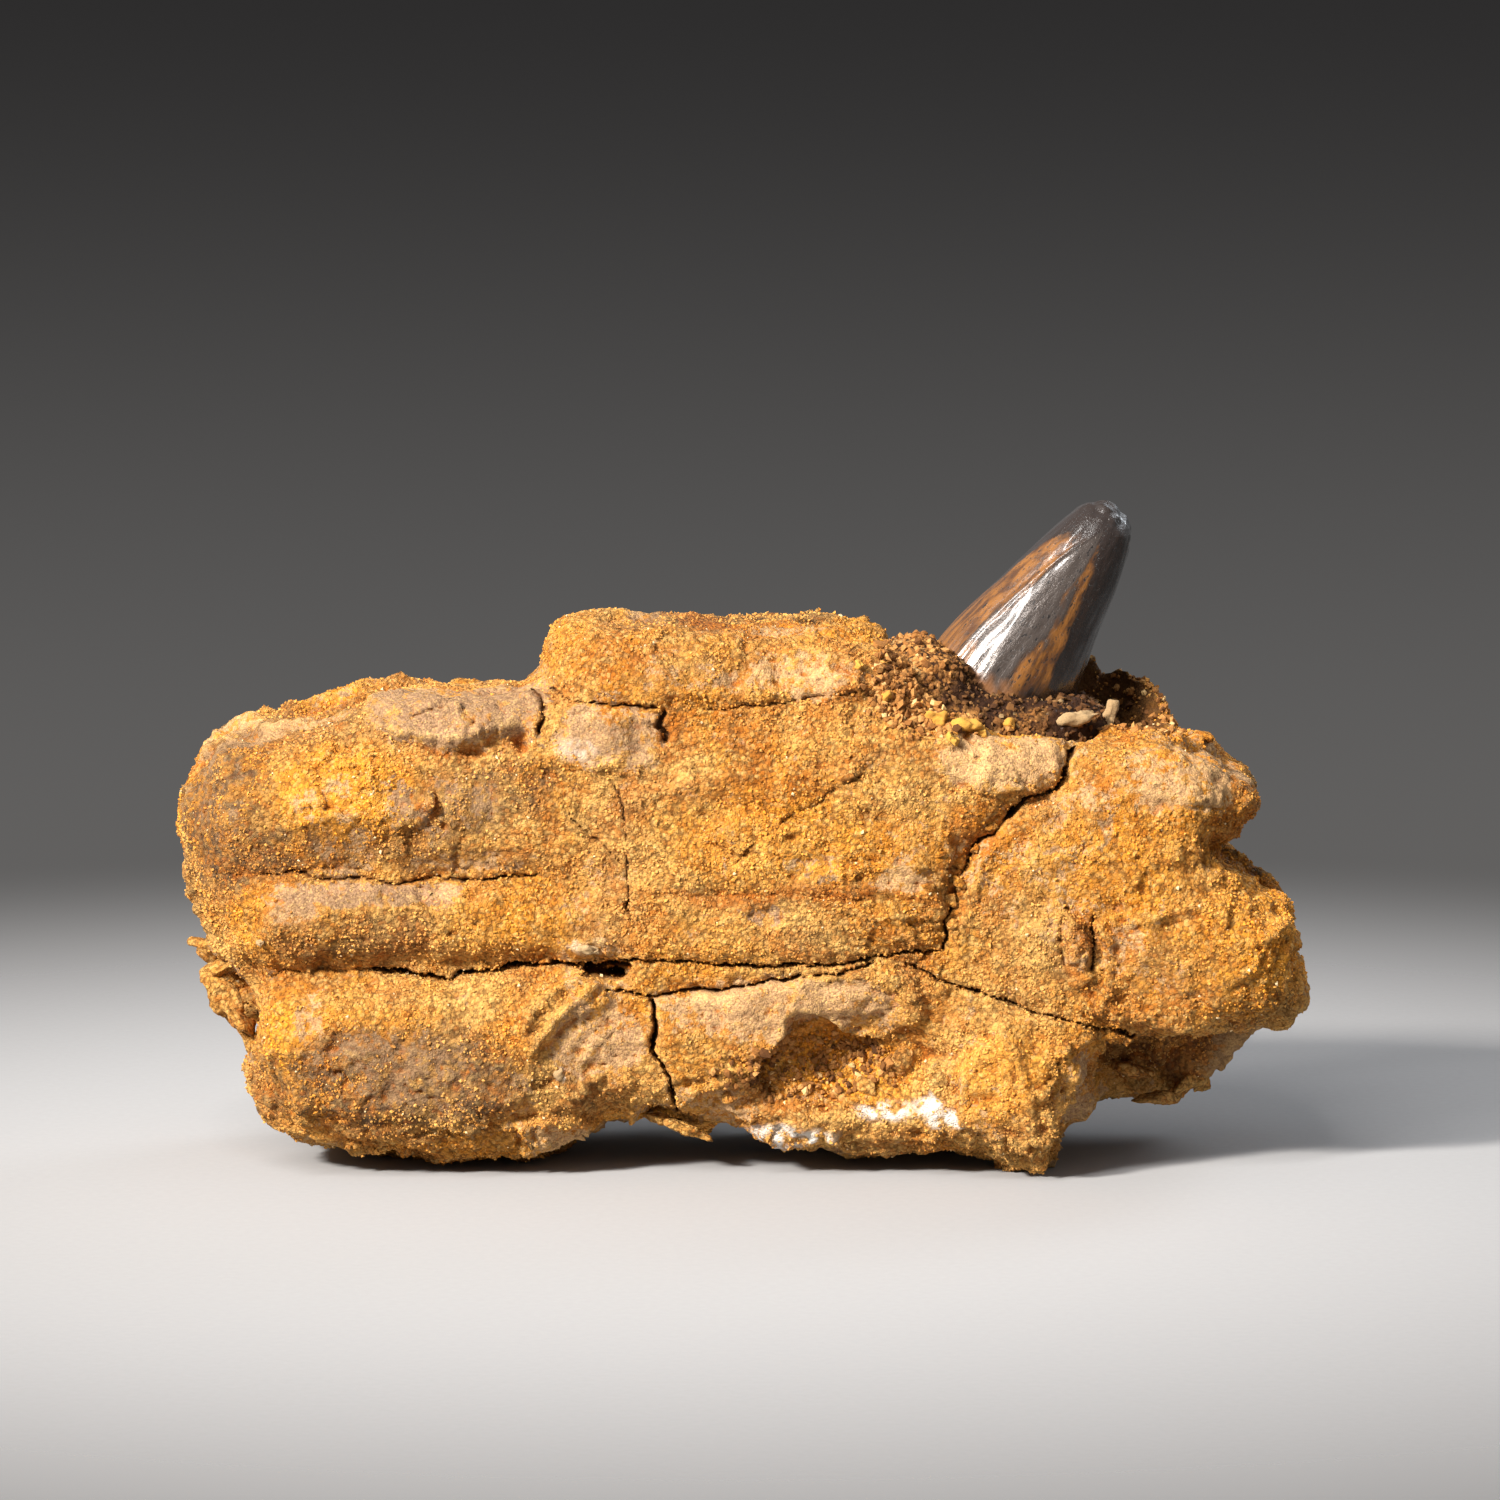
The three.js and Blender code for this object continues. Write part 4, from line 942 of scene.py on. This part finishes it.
def jawDetail(points, normals):
    # how far each point rises, how far the cracks cut in along y, and the marks that the materials read
    x, y, z = points.T
    outward = normals[:, 1]
    face = ramp(-0.05, -0.45, outward) * (y < -3)
    back = ramp(0.1, 0.5, outward) * (y > 3)
    seen = ramp(0.3, -0.1, outward) * (y < -3)  # the face and the edge above it
    low = ramp(30, 12, z)
    ragged = wander(points, 2.6, 0.7)
    marked = jawMarks(points, ragged, face, seen)
    bare = ramp(0.35, 0.6, marked["worn"])

    def lumps(name, field=noise, at=points):
        size, rise = relief[name]
        return rise * field(at, size)

    def creases(value):
        return 0.45 - np.abs(value)

    def slabs(name, seed):
        size, rise = relief[name]
        return rise * granules(ragged, size, seed, tilt=1.0)

    height = np.zeros(len(points))
    height += lumps("swell") + lumps("hump", otherNoise) - relief["inset"]
    rocky = np.maximum(ramp(20, 8, z), 0.25 + 0.75 * ramp(0.1, 0.35, otherNoise(points + 60, 16)))
    height += rocky * (slabs("facet", 21) + slabs("smallFacet", 22))
    height += (0.3 + 0.6 * ramp(14, 4, z)) * creases(noise(points + 9, relief["ledge"]))
    size, rise = relief["wrinkle"]
    height += rise * creases(otherNoise(points + 4, size))
    # sand where the bone isn't bare, thinner at the left end and lumpier on the right
    size, rise = relief["grain"]
    sandy = relief["sand"] + rise * granules(points, size, 5) + lumps("crumb", otherNoise)
    height += (1 - bare) * (1 - 0.45 * ramp(-24, -36, x)) * sandy
    size, rise = relief["chip"]
    height += patch(ragged, 36.0, 10.5, 9.0, 11.0) * face * rise * granules(ragged, size, 31, tilt=1.0)
    size, rise = relief["lump"]
    lumpy = ramp(22, 40, x) * ramp(48, 40, z)
    height += (1 - bare) * lumpy * rise * (granules(ragged, size, 24) - 0.4)
    # fibres, creases and fissures where it is bare
    fibres = lumps("fibre", at=wander(points, 5, 0.6) * (0.55, 1, 1.1))
    size, rise = relief["crease"]
    worked = fibres + rise * (0.4 - np.abs(noise(points + 30, size)))
    size, rise = relief["fissure"]
    split = np.abs(noise(wander(points, 2.0, 0.5) * (1, 1, 1.3), size))
    height += bare * (worked - rise * ramp(0.1, 0.0, split))
    height += lumps("layer", otherNoise, points * (0.3, 0.6, 1.6)) * (1 - face + face * low)
    size, rise = relief["shelf"]
    height += rise * ramp(0.02, 0.12, otherNoise(points + 3, size)) * (1 - 0.85 * face)

    step, backStep, ridged = wander(ragged, 5.0, 0.6), wander(ragged, 6.0, 1.6), wander(points, 2.2, 0.8)
    for corners, rise, edge in jaw["plateaus"]:
        height += rise * ramp(-edge, edge, ringDepth(step, corners)) * face
    for route, width, depth in jaw["furrows"]:
        height -= drawn(ragged, route, width, depth, 0.08, 0.85) * face
    for *place, rise in jaw["bumps"]:
        height += rise * patch(ragged, *place) * face
    depthOnly = points * (0, 1, 0)
    swayed = ragged + 1.5 * noise(depthOnly, 9)[:, None] * (0, 0, 1)
    for *place, rise in jaw["outline"]:
        rise = rise * (1 + 0.6 * otherNoise(depthOnly + place[0], 12))
        height += rise * patch(swayed, *place) * ramp(0.95, 0.7, np.abs(outward))
    for corners, rise, edge in jaw["backPlateaus"]:
        rise = relief["backRise"] * rise * ramp(-edge, edge, ringDepth(backStep, corners))
        height += rise * (1 - face) * (y > 0)
    for route, width, rise in jaw["ridges"]:
        height += drawn(ridged, route, width, rise, 0.2, 0.8) * face

    cracks = [(route, *crackLook["hair"], face, crackLook["hairDark"]) for route in jaw["hairCracks"]]
    cracks += [(*crack, face, 1.0) for crack in jaw["openCracks"]]
    cracks += [(*crack, back, 1.0) for crack in jaw["backCracks"]]
    # painted shade: the insides of the cracks are marked to be painted dark
    cut, hollow = np.zeros(len(points)), np.zeros(len(points))
    for route, width, depth, reach, dark in cracks:
        deep, inside = crackProfile(points, route, width, depth, reach)
        cut += deep
        hollow = np.maximum(hollow, dark * inside)
    centre, half = jaw["hollow"]
    offset = points - centre
    inward = -(offset * normals).sum(1) / np.maximum(np.linalg.norm(offset, axis=1), 0.1)
    far = np.linalg.norm(offset / half, axis=1)
    # and the inward faces of the empty socket, also painted shade
    marked["hollow"] = np.maximum(hollow, 0.92 * ramp(1.5, 1.2, far) * ramp(0.1, 0.5, inward))
    return height, cut * np.where(y < 0, 1, -1), marked


def hollows(points, normals, edges, rounds, depth):
    # 0.5 on level ground, towards 1 in dents and towards 0 on crests
    sunk = ((blurred(points, edges, rounds) - points) * normals).sum(1)
    return 0.5 + 0.5 * sunk / depth


def closeTo(points, routes, reach):
    near = np.zeros(len(points), bool)
    for route in routes:
        near |= routeDistance(points, route)[0] < reach
    return near


def refinedNear(mesh, near):
    # halves the edges that join two marked vertices
    with editing(mesh) as scratch:
        edges = [e for e in scratch.edges if near[e.verts[0].index] and near[e.verts[1].index]]
        bmesh.ops.subdivide_edges(scratch, edges=edges, cuts=1, use_grid_fill=True)
    return mesh


def jawSkin():
    mesh = joined([jawForm(), *(rock(*values) for values in jawRocks), socketRim()])
    mesh = largestPart(modified(mesh, "REMESH", mode="VOXEL", voxel_size=jaw["fine"] * mm))
    points, _, edges = readMesh(mesh)
    writePoints(mesh, blurred(points, edges, 2))
    print("jaw: block, rocks and rim in one skin")

    # a finer mesh along the cracks
    points, normals, _ = readMesh(mesh)
    front = [route for route, _, _ in jaw["openCracks"]] + jaw["hairCracks"]
    back = [route for route, _, _ in jaw["backCracks"]]
    near = closeTo(points, front, jaw["nearFront"]) & (points[:, 1] < -6) & (normals[:, 1] < 0.1)
    near |= closeTo(points, back, jaw["nearBack"]) & (points[:, 1] > 6) & (normals[:, 1] > 0.2)
    mesh = refinedNear(mesh, near)

    points, normals, edges = readMesh(mesh)
    calm = blurred(normals, edges, jaw["calm"])
    calm /= np.linalg.norm(calm, axis=1)[:, None]
    height, cut, marked = jawDetail(points, calm)
    points = points + height[:, None] * calm
    points[:, 1] += cut
    points[:, 2] = np.maximum(points[:, 2], 0)
    writePoints(mesh, points)
    for name, values in marked.items():
        attribute(mesh, name, values)
    points, normals, edges = readMesh(mesh)
    attribute(mesh, "dent", hollows(points, normals, edges, *jaw["dents"]))
    print(f"jaw before thinning: {len(mesh.polygons)} faces")

    # thinned most where it is turned away, but not at the cracks there
    faces = sum(len(face.vertices) - 2 for face in mesh.polygons)
    behind = (normals[:, 1] > 0.1) & ~closeTo(points, back, jaw["keptBack"])
    return modified(
        mesh, "DECIMATE", ratio=min(1, jaw["triangles"] / faces), vertex_group="behind",
        members=[(1.0, np.flatnonzero(behind).tolist()), (0.5, np.flatnonzero(~behind).tolist())],
    )


sandyBoneMaterial = sandyBone()
skin = addPiece("jawSkin", jawSkin(), sandyBoneMaterial, ["jaw_bone"])


# broken slivers that stand clear of the block: place, half size, turn
splinters = [
    ((-65.6, -14, 31.6), (1.9, 3, 2.6), (0, 30, 0)), ((-67.4, -12, 28.4), (3, 2.6, 1.1), (0, 8, 0)),
    ((-67.2, -13, 25.2), (3.6, 3.4, 1.3), (0, -10, 0)), ((-66.4, -15, 22.2), (3.8, 3, 1.9), (0, 38, 0)),
    ((-64.2, -16, 19), (3.4, 3, 1.5), (0, 48, 0)), ((-62.4, -15, 16.2), (2.4, 2.4, 1.3), (0, 40, 0)),
    ((-66, -3, 26), (4, 6, 1.6), (0, 6, 10)), ((-64.6, 6, 21), (4, 5, 2.4), (0, 40, 0)),
    ((57.4, -7, 9.2), (2.8, 3.4, 1.2), (0, -24, 0)), ((60.2, -4, 9.6), (1.3, 2, 2), (0, 10, 0)),
    ((53.6, -12, 8.8), (3.4, 3, 1.3), (0, -8, 0)), ((50.2, -14, 12.6), (2.8, 2.4, 1), (0, 10, 0)),
    ((60.2, -3, 54.4), (1.5, 2, 0.7), (0, 10, 0)),
    ((-6.2, -18, 5), (3.4, 3, 0.9), (0, 24, 0)), ((-10.4, -16, 6.4), (2.2, 2.6, 0.8), (0, 10, 0)),
]


def chipPile(places, seed, grit):
    # broken stones with a gritty surface, each in one of three tones
    parts = []
    for number, (at, half, turn) in enumerate(places):
        mesh = rock(at, half, turn, seed + number, spread=0.62)
        points, normals, _ = readMesh(mesh)
        height = grit * (noise(points, 0.8) + 0.5 * otherNoise(points, 0.4) + 3 * noise(points, 2.2))
        points = points + height[:, None] * normals
        points[:, 2] = np.maximum(points[:, 2], 0)
        writePoints(mesh, points)
        attribute(mesh, "tone", np.full(len(points), 0.35 + 0.4 * (number % 3) / 2))
        attribute(mesh, "dent", np.full(len(points), 0.5))
        parts.append(mesh)
    return joined(parts)


addPiece("boneSplinters", chipPile(splinters, seed=130, grit=0.16), sandyBoneMaterial)


# Loose grains that stick to a surface
grainShape = {
    "mostlySmall": 1.8,  # the higher, the fewer large grains
    "stretch": (0.75, 1.25), "uneven": 0.22,
}


def scattered(name, mesh, shares, count, sizes, seed, detail=0, sink=0.15, carried=None):
    # shares: how likely the ground round each vertex is to hold a grain
    # carried: how much of each of the surface's marks a grain takes on
    mesh.calc_loop_triangles()
    corners = fetched(mesh.loop_triangles, "vertices", np.int32, 3)
    points, normals, _ = readMesh(mesh)
    a, b, c = (points[corners[:, i]] for i in range(3))
    chance = np.linalg.norm(np.cross(b - a, c - a), axis=1) * shares[corners].mean(1)
    dice = np.random.default_rng(seed)
    pick = dice.choice(len(corners), count, p=chance / chance.sum())
    u, v = dice.random((2, count))
    u, v = np.where(u + v > 1, (1 - u, 1 - v), (u, v))
    at = a[pick] + u[:, None] * (b - a)[pick] + v[:, None] * (c - a)[pick]
    normal = normals[corners[pick, 0]]
    low, high = sizes
    radius = low * (high / low) ** (dice.random(count) ** grainShape["mostlySmall"])
    at = at + normal * (radius * (0.5 - sink) * dice.random(count))[:, None]
    spin = dice.normal(size=(count, 4))
    spin /= np.linalg.norm(spin, axis=1)[:, None]
    w, x, y, z = spin.T
    axes = np.stack([
        np.stack([1 - 2 * (y * y + z * z), 2 * (x * y - z * w), 2 * (x * z + y * w)], 1),
        np.stack([2 * (x * y + z * w), 1 - 2 * (x * x + z * z), 2 * (y * z - x * w)], 1),
        np.stack([2 * (x * z - y * w), 2 * (y * z + x * w), 1 - 2 * (x * x + y * y)], 1),
    ], 1)
    if detail:
        shape, faces = rockShape(detail, seed)
    else:  # eight-sided
        shape = np.array([(1, 0, 0), (-1, 0, 0), (0, 1, 0), (0, -1, 0), (0, 0, 1), (0, 0, -1)], float)
        above = [(0, 2, 4), (2, 1, 4), (1, 3, 4), (3, 0, 4)]
        faces = np.array(above + [(b, a, 5) for a, b, _ in above])
    short, long = grainShape["stretch"]
    stretch = short + (long - short) * dice.random((count, 1, 3))
    uneven = 1 + grainShape["uneven"] * dice.normal(size=(count, len(shape), 1))
    local = shape[None] * stretch * uneven * radius[:, None, None]
    grains = np.einsum("nij,nkj->nki", axes, local) + at[:, None]
    grains[:, :, 2] = np.maximum(grains[:, :, 2], 0)
    faces = faces[None] + (np.arange(count) * len(shape))[:, None, None]
    made = meshOf(name, grains.reshape(-1, 3), faces.reshape(-1, 3))
    attribute(made, "tone", np.repeat(dice.random(count), len(shape)))
    for mark, amount in (carried or {}).items():
        attribute(made, mark, amount * np.repeat(readAttribute(mesh, mark)[corners[pick, 0]], len(shape)))
    return made


crust = {
    "pieces": 3, "grains": 21500, "sizes": (0.1, 0.3), "sink": 0.25,
    "carried": {"brown": 0.15, "bright": 1.0, "rust": 0.7},
    "quartz": (0.8, 0.6, 0.32), "quartzShare": 0.012,
}
grainMaterial = newGrain(
    "crustGrain", None, crustLook["straw"], jawLook["deep"], crust["quartz"], crust["quartzShare"]
)
skinPoints, skinNormals, _ = readMesh(skin.data)
worn, shut, chalky = (readAttribute(skin.data, mark) for mark in ("worn", "hollow", "chalk"))
# most on the face and in clumps, few on bare bone or chalk, hardly any in the cracks
clumps = ramp(-0.35, 0.35, noise(skinPoints, 5.5)) * 0.8 + 0.2
crustShares = (1.04 - ramp(0.32, 0.62, worn)) * clumps * (1 + 0.9 * (skinNormals[:, 1] < -0.1))
crustShares = crustShares * (1 - 0.9 * shut) * (1 - 0.85 * chalky)
for number in range(crust["pieces"]):
    grains = scattered(
        "grains", skin.data, crustShares, crust["grains"] // (1), crust["sizes"],
        seed=50 + number, sink=crust["sink"], carried=crust["carried"],
    )
    addPiece(f"crustGrains_{number + 1}", grains, grainMaterial, smooth=False)


# The sediment round the tooth
sediment = {
    "voxel": 0.45, "blur": 6, "grains": 4600, "spilt": 1800, "sizes": (0.18, 0.72),
    "proud": 0.35,
    "relief": ((0.5, 4.5), (0.55, 2.1), (0.3, 1.1)),  # height and size of swells, lumps and crumbs
    "root": ((32.0, -6.0, 59.5), (11.5, 12.5, 6.5)),  # the damp ground round the tooth: centre and half size
    # where crumbs have spilt over the bone: in front of the tooth and round the empty socket
    "front": ((24.0, -19.0, 62.0), (10.0, 11.0, 6.5)), "socket": ((48.0, -3.0, 58.5), (11.0, 12.0, 6.0)),
    "recess": ((9.0, 14.0), (12.0, 4.0)),  # and in the recess on the face, as (x, z)
}


def awayFrom(points, name):
    centre, half = sediment[name]
    return np.linalg.norm((points - centre) / half, axis=1)


def sedimentSkin():
    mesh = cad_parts["socket_sediment"].data.copy()
    mesh = largestPart(modified(mesh, "REMESH", mode="VOXEL", voxel_size=sediment["voxel"] * mm))
    points, _, edges = readMesh(mesh)
    writePoints(mesh, blurred(points, edges, sediment["blur"]))
    points, normals, _ = readMesh(mesh)
    (swell, broad), (lump, wide), (crumb, small) = sediment["relief"]
    height = sediment["proud"] + swell * noise(points, broad)
    height = height + lump * granules(points, wide, 6) + crumb * granules(points, small, 7)
    writePoints(mesh, points + height[:, None] * normals)
    # painted shade: dark round the root of the tooth and towards the empty socket
    shadeNearTooth = ramp(1.25, 0.85, awayFrom(points, "root") + 0.25 * noise(points, 3))
    attribute(mesh, "shadeNearTooth", np.maximum(shadeNearTooth, ramp(36, 40, points[:, 0])))
    return mesh


bed = addPiece("sedimentSkin", sedimentSkin(), crumblySediment(), ["socket_sediment"])
# the crumbs take on the painted shade near the tooth
crumbs = scattered(
    "crumbs", bed.data, np.ones(len(bed.data.vertices)), sediment["grains"], sediment["sizes"],
    seed=71, detail=1, carried={"shadeNearTooth": 1.0},
)
crumbMaterial = newGrain(
    "sedimentGrain", (sedimentLook["earth"], sedimentLook["crumb"]), sedimentLook["light"],
    sedimentLook["dark"], sedimentLook["quartz"], 0.03,
)
addPiece("sedimentCrumbs", crumbs, crumbMaterial, smooth=False)

inFront, inSocket = awayFrom(skinPoints, "front"), awayFrom(skinPoints, "socket")
inRecess = awayFrom(skinPoints[:, ::2], "recess")
spillShares = ramp(1.15, 0.5, inFront) + 0.5 * ramp(1.15, 0.6, inSocket) + 0.35 * ramp(1.2, 0.8, inRecess)
spillShares = spillShares * (1 - 0.95 * shut) * (skinNormals[:, 1] < 0.2) + 1e-9
spilt = scattered(
    "spilt", skin.data, spillShares, sediment["spilt"], sediment["sizes"], seed=72, detail=1
)
addPiece("spiltCrumbs", spilt, crumbMaterial, smooth=False)

# Lumps of yellow clay in the sediment, pale chips in the mouth of the empty socket and rubble in the cracks:
# place, half size, turn. A place of two numbers is on the face, and the stone is set on what lies behind it.
clayLumps = [
    ((25.2, 58.8), (1.5, 1.3, 1.2), (0, 10, 30)), ((28.6, 57.8), (1.8, 1.5, 1.4), (20, 0, 0)),
    ((26.6, 56.6), (1.2, 1.1, 1), (0, 40, 0)), ((18.6, 61.6), (1.1, 1, 0.9), (0, 0, 0)),
    ((30.8, 57), (0.8, 0.7, 0.7), (0, 0, 60)), ((15, 65.6), (0.7, 0.7, 0.6), (0, 0, 0)),
    ((34.4, 57.4), (0.8, 0.7, 0.6), (0, 20, 0)),
]
paleChips = [
    ((47.8, -9.6, 58.2), (1, 0.9, 2.8), (0, 12, 40)), ((42.8, 57.8), (2.8, 1.3, 1.7), (15, -12, 10)),
    ((-19.8, 29.7), (2.2, 0.7, 0.8), (0, 12, 0)),
    ((-22.6, 14), (0.7, 0.6, 0.8), (0, 0, 0)), ((-60.4, 30.4), (0.6, 0.5, 0.5), (0, 0, 0)),
]
rubble = [
    ((27.9, 38), (1.4, 0.7, 1.1), (0, 20, 0)), ((26.7, 35.6), (1.1, 0.7, 0.8), (0, 0, 0)),
    ((29.9, 42.3), (1.2, 0.7, 0.9), (0, 50, 0)), ((27.2, 32.8), (0.9, 0.6, 0.7), (0, 10, 0)),
    ((25, 41.8), (0.9, 0.6, 0.6), (0, 0, 0)), ((31.8, 45.2), (1, 0.6, 0.6), (0, -30, 0)),
    ((24, 37.8), (1.2, 0.5, 0.6), (0, 0, 0)), ((-24.4, 27.9), (1, 0.7, 0.6), (0, 0, 0)),
    ((45.4, 26.2), (0.8, 0.6, 1), (0, 15, 0)), ((16.4, 11.2), (1.6, 1.2, 1.5), (0, 30, 0)),
    ((20.4, 15.2), (1.9, 1.4, 1.8), (0, 0, 20)), ((25.6, 12.4), (1.7, 1.3, 1.6), (0, 40, 0)),
    ((12.6, 10.6), (1, 0.8, 0.9), (0, 0, 0)), ((-1.4, 10.4), (1.1, 0.8, 0.8), (0, 0, 0)),
]
ground = np.concatenate([skinPoints, readMesh(bed.data)[0]])


def settled(places):
    made = []
    for at, half, turn in places:
        if len(at) == 2:
            near = np.hypot(ground[:, 0] - at[0], ground[:, 2] - at[1]) < 0.6
            at = (at[0], ground[near, 1].min() + 0.3 * half[1], at[1])
        made.append((at, half, turn))
    return made


addPiece("looseRubble", chipPile(settled(rubble), seed=160, grit=0.14), sandyBoneMaterial)
for name, places, (dark, light), slot in (
    ("clayLumps", clayLumps, clayLook["yellow"], "crumbly_sediment"),
    ("paleChips", paleChips, clayLook["pale"], "sandy_bone"),
):
    clay = newGrain(name, (dark, light), light, crustLook["umber"], light, 0.0)
    addPiece(name, chipPile(settled(places), seed=90, grit=0.2), clay)


# The tooth
tooth = {
    "base": (33.25, -4.1, 61.2), "lean": 34, "crown": 27.6, "flutes": 0.09,
    "edge": (2.42, 0.22),  # the cutting edge: angle round the crown, and how far it stands out
    "curve": 2.6, "tip": (0.84, 0.97),  # how far the crown bends back, and where along it the worn tip starts
    # angles where each band comes and goes
    "rust": (2.1, 2.6), "streak": 1.22, "polishAndSheen": (1.2, 1.65, 2.25, 2.65),
}


def toothSkin():
    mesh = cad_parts["tooth"].data.copy()
    with editing(mesh) as scratch:
        bmesh.ops.remove_doubles(scratch, verts=scratch.verts, dist=0.01 * mm)
        bmesh.ops.join_triangles(
            scratch, faces=scratch.faces, angle_face_threshold=0.6, angle_shape_threshold=1.2
        )
    mesh = modified(mesh, "SUBSURF", levels=3, subdivision_type="CATMULL_CLARK")
    points, normals, _ = readMesh(mesh)
    lean = math.radians(tooth["lean"])
    x, y, z = (points - tooth["base"]).T
    up = x * math.sin(lean) + z * math.cos(lean)
    side = x * math.cos(lean) - z * math.sin(lean)
    share = up / tooth["crown"]
    angle = np.arctan2(-(y + tooth["curve"] * np.maximum(share, 0) ** 2), side)
    local = np.stack([side, y, up * 0.09], 1)

    # flutes along the crown, a worn tip and a cutting edge
    height = tooth["flutes"] * (noise(local, 1.6) + 0.6 * otherNoise(local, 0.8)) * ramp(1.0, 0.9, share)
    height += (0.4 * noise(points, 3.2) + 0.3 * otherNoise(points, 1.4)) * ramp(*tooth["tip"], share)
    edge, rise = tooth["edge"]
    height += rise * ramp(0.1, 0.0, np.abs(angle - edge)) * ramp(1.0, 0.7, share)
    writePoints(mesh, points + height[:, None] * normals)
    made = mesh.attributes.new("lengthwise", "FLOAT_VECTOR", "POINT")
    made.data.foreach_set("vector", local.astype(np.float32).ravel())

    # bands along the crown: rusty to the left of its edge, polished in front with a painted sheen where the
    # highlight falls, a rusty streak, then dark
    swayed = angle + 0.2 * noise(local, 2) + 0.14 * otherNoise(local, 0.8)
    come, full, fade, gone = tooth["polishAndSheen"]
    rust = ramp(*tooth["rust"], swayed) * ramp(0.92, 0.62, share)
    streak = 0.8 * ramp(0.42, 0.06, np.abs(swayed - tooth["streak"]))
    rust += streak * ramp(0.0, 0.15, share) * ramp(0.92, 0.68, share)
    rust += 0.5 * ramp(0.1, 0.4, noise(local + 7, 3.0)) * ramp(0.5, 0.1, share)
    for name, values in {
        "rust": rust,
        "polishAndSheen": ramp(come, full, swayed) * ramp(gone, fade, swayed) * ramp(1.0, 0.9, share),
        "chipped": ramp(0.93, 0.99, share + 0.03 * noise(points, 2)),
        "dust": ramp(0.06, -0.04, share + 0.05 * noise(points, 1.2)),
    }.items():
        attribute(mesh, name, values)
    return mesh


addPiece("toothSkin", toothSkin(), toothEnamel(), ["tooth"])


# Floor, light and camera
studio = {
    "floorRadius": 0.9,
    "paper": (0.345, 0.345, 0.352),
    "fibre": (0.3, 0.3, 0.3),
    "fade": (0.05, 0.33),  # where the floor starts to give way to the dark, and where it has
    "key": {"power": 45, "size": 0.15, "turn": 45, "height": 30, "away": 1.4, "colour": (1.0, 0.945, 0.875)},
    "strip": {
        "power": 9, "size": 0.09, "long": 0.75, "roll": -29, "turn": 29, "height": 44, "away": 1.0,
        "colour": (1.0, 0.97, 0.94),
    },
    "rim": {"power": 3.5, "size": 0.35, "turn": -140, "height": 32, "away": 1.0, "colour": (0.86, 0.93, 1.0)},
    # what lights the object, low down and overhead, and what the camera sees behind it
    "sky": [(-0.1, (0.13, 0.128, 0.125)), (0.75, (0.42, 0.42, 0.43))],
    "dusk": [(-0.14, (0.125, 0.121, 0.118)), (0.03, (0.025, 0.024, 0.024))],
    "aim": (0.0013, -0.0001, 0.0523),
    "away": 0.8,
    "elevation": 6,
    "wide": 0.195,  # how much of the object's plane the camera takes in
}


def directionTo(turn, height):
    # turn is to the left of the camera, both in degrees
    turn, height = math.radians(turn), math.radians(height)
    level = math.cos(height)
    return np.array([-math.sin(turn) * level, -math.cos(turn) * level, math.sin(height)])


def addFloor():
    material, tree, shader = newMaterial("paperFloor")
    place = objectPlace(tree)
    far = addNode(tree, "ShaderNodeVectorMath", {0: place}, operation="LENGTH").outputs["Value"]
    grain = noiseTexture(tree, place, 900.0, 3.0)
    colour = mixed(tree, masked(tree, grain, 0.2, 2.2), studio["paper"], studio["fibre"])
    near, gone = studio["fade"]
    setSockets(tree, shader.inputs, {
        "Base Color": colour, "Roughness": masked(tree, grain, -1.5, 0.8),
        "Alpha": masked(tree, far, gone, near),
    })
    mesh = bpy.data.meshes.new("floor")
    with editing(mesh) as scratch:
        bmesh.ops.create_circle(scratch, cap_ends=True, segments=96, radius=studio["floorRadius"])
    mesh.materials.append(material)
    floor = bpy.data.objects.new("floor", mesh)
    floor.location.z = -0.0001
    scene.collection.objects.link(floor)


def addSky():
    # a soft light from all round, stronger overhead, and a dark, softly graded backdrop for the camera
    world = bpy.data.worlds.new("studio")
    scene.world = world
    world.use_nodes = True
    tree = world.node_tree
    behind = tree.nodes["Background"]
    place = addNode(tree, "ShaderNodeTexCoord").outputs["Generated"]
    level = addNode(tree, "ShaderNodeSeparateXYZ", {0: place}).outputs["Z"]
    graded = []
    for (low, lowColour), (high, highColour) in (studio["sky"], studio["dusk"]):
        graded.append(mixed(tree, masked(tree, level, low, high), lowColour, highColour))
    around = addNode(tree, "ShaderNodeBackground", {"Color": graded[0]})
    setSocket(tree, behind.inputs["Color"], graded[1])
    seen = addNode(tree, "ShaderNodeLightPath").outputs["Is Camera Ray"]
    both = addNode(tree, "ShaderNodeMixShader", {0: seen, 1: around.outputs[0], 2: behind.outputs[0]})
    setSocket(tree, tree.nodes["World Output"].inputs["Surface"], both.outputs[0])


def addLight(name, values):
    lamp = bpy.data.lights.new(name, "AREA")
    lamp.energy, lamp.size, lamp.color = values["power"], values["size"], values["colour"]
    if "long" in values:
        lamp.shape, lamp.size_y = "RECTANGLE", values["long"]
    light = bpy.data.objects.new(name, lamp)
    scene.collection.objects.link(light)
    toward = directionTo(values["turn"], values["height"])
    light.location = toward * values["away"] + (0, 0, 0.03)
    light.rotation_mode = "QUATERNION"
    facing = Vector(toward).to_track_quat("Z", "Y")
    light.rotation_quaternion = facing @ type(facing)((0, 0, 1), math.radians(values.get("roll", 0)))


def addCamera():
    lens = bpy.data.cameras.new("camera")
    lens.sensor_width = 36
    lens.lens = 36 * studio["away"] / studio["wide"]
    lens.clip_start, lens.clip_end = 0.01, 20
    camera = bpy.data.objects.new("camera", lens)
    scene.collection.objects.link(camera)
    toward = directionTo(0, studio["elevation"])
    camera.location = np.array(studio["aim"]) + toward * studio["away"]
    camera.rotation_mode = "QUATERNION"
    camera.rotation_quaternion = Vector(toward).to_track_quat("Z", "Y")
    scene.camera = camera


addFloor()
for name in ("key", "strip", "rim"):
    addLight(name, studio[name])
addCamera()
addSky()
scene.view_settings.view_transform = "Standard"
print("floor, lights and camera are in place")
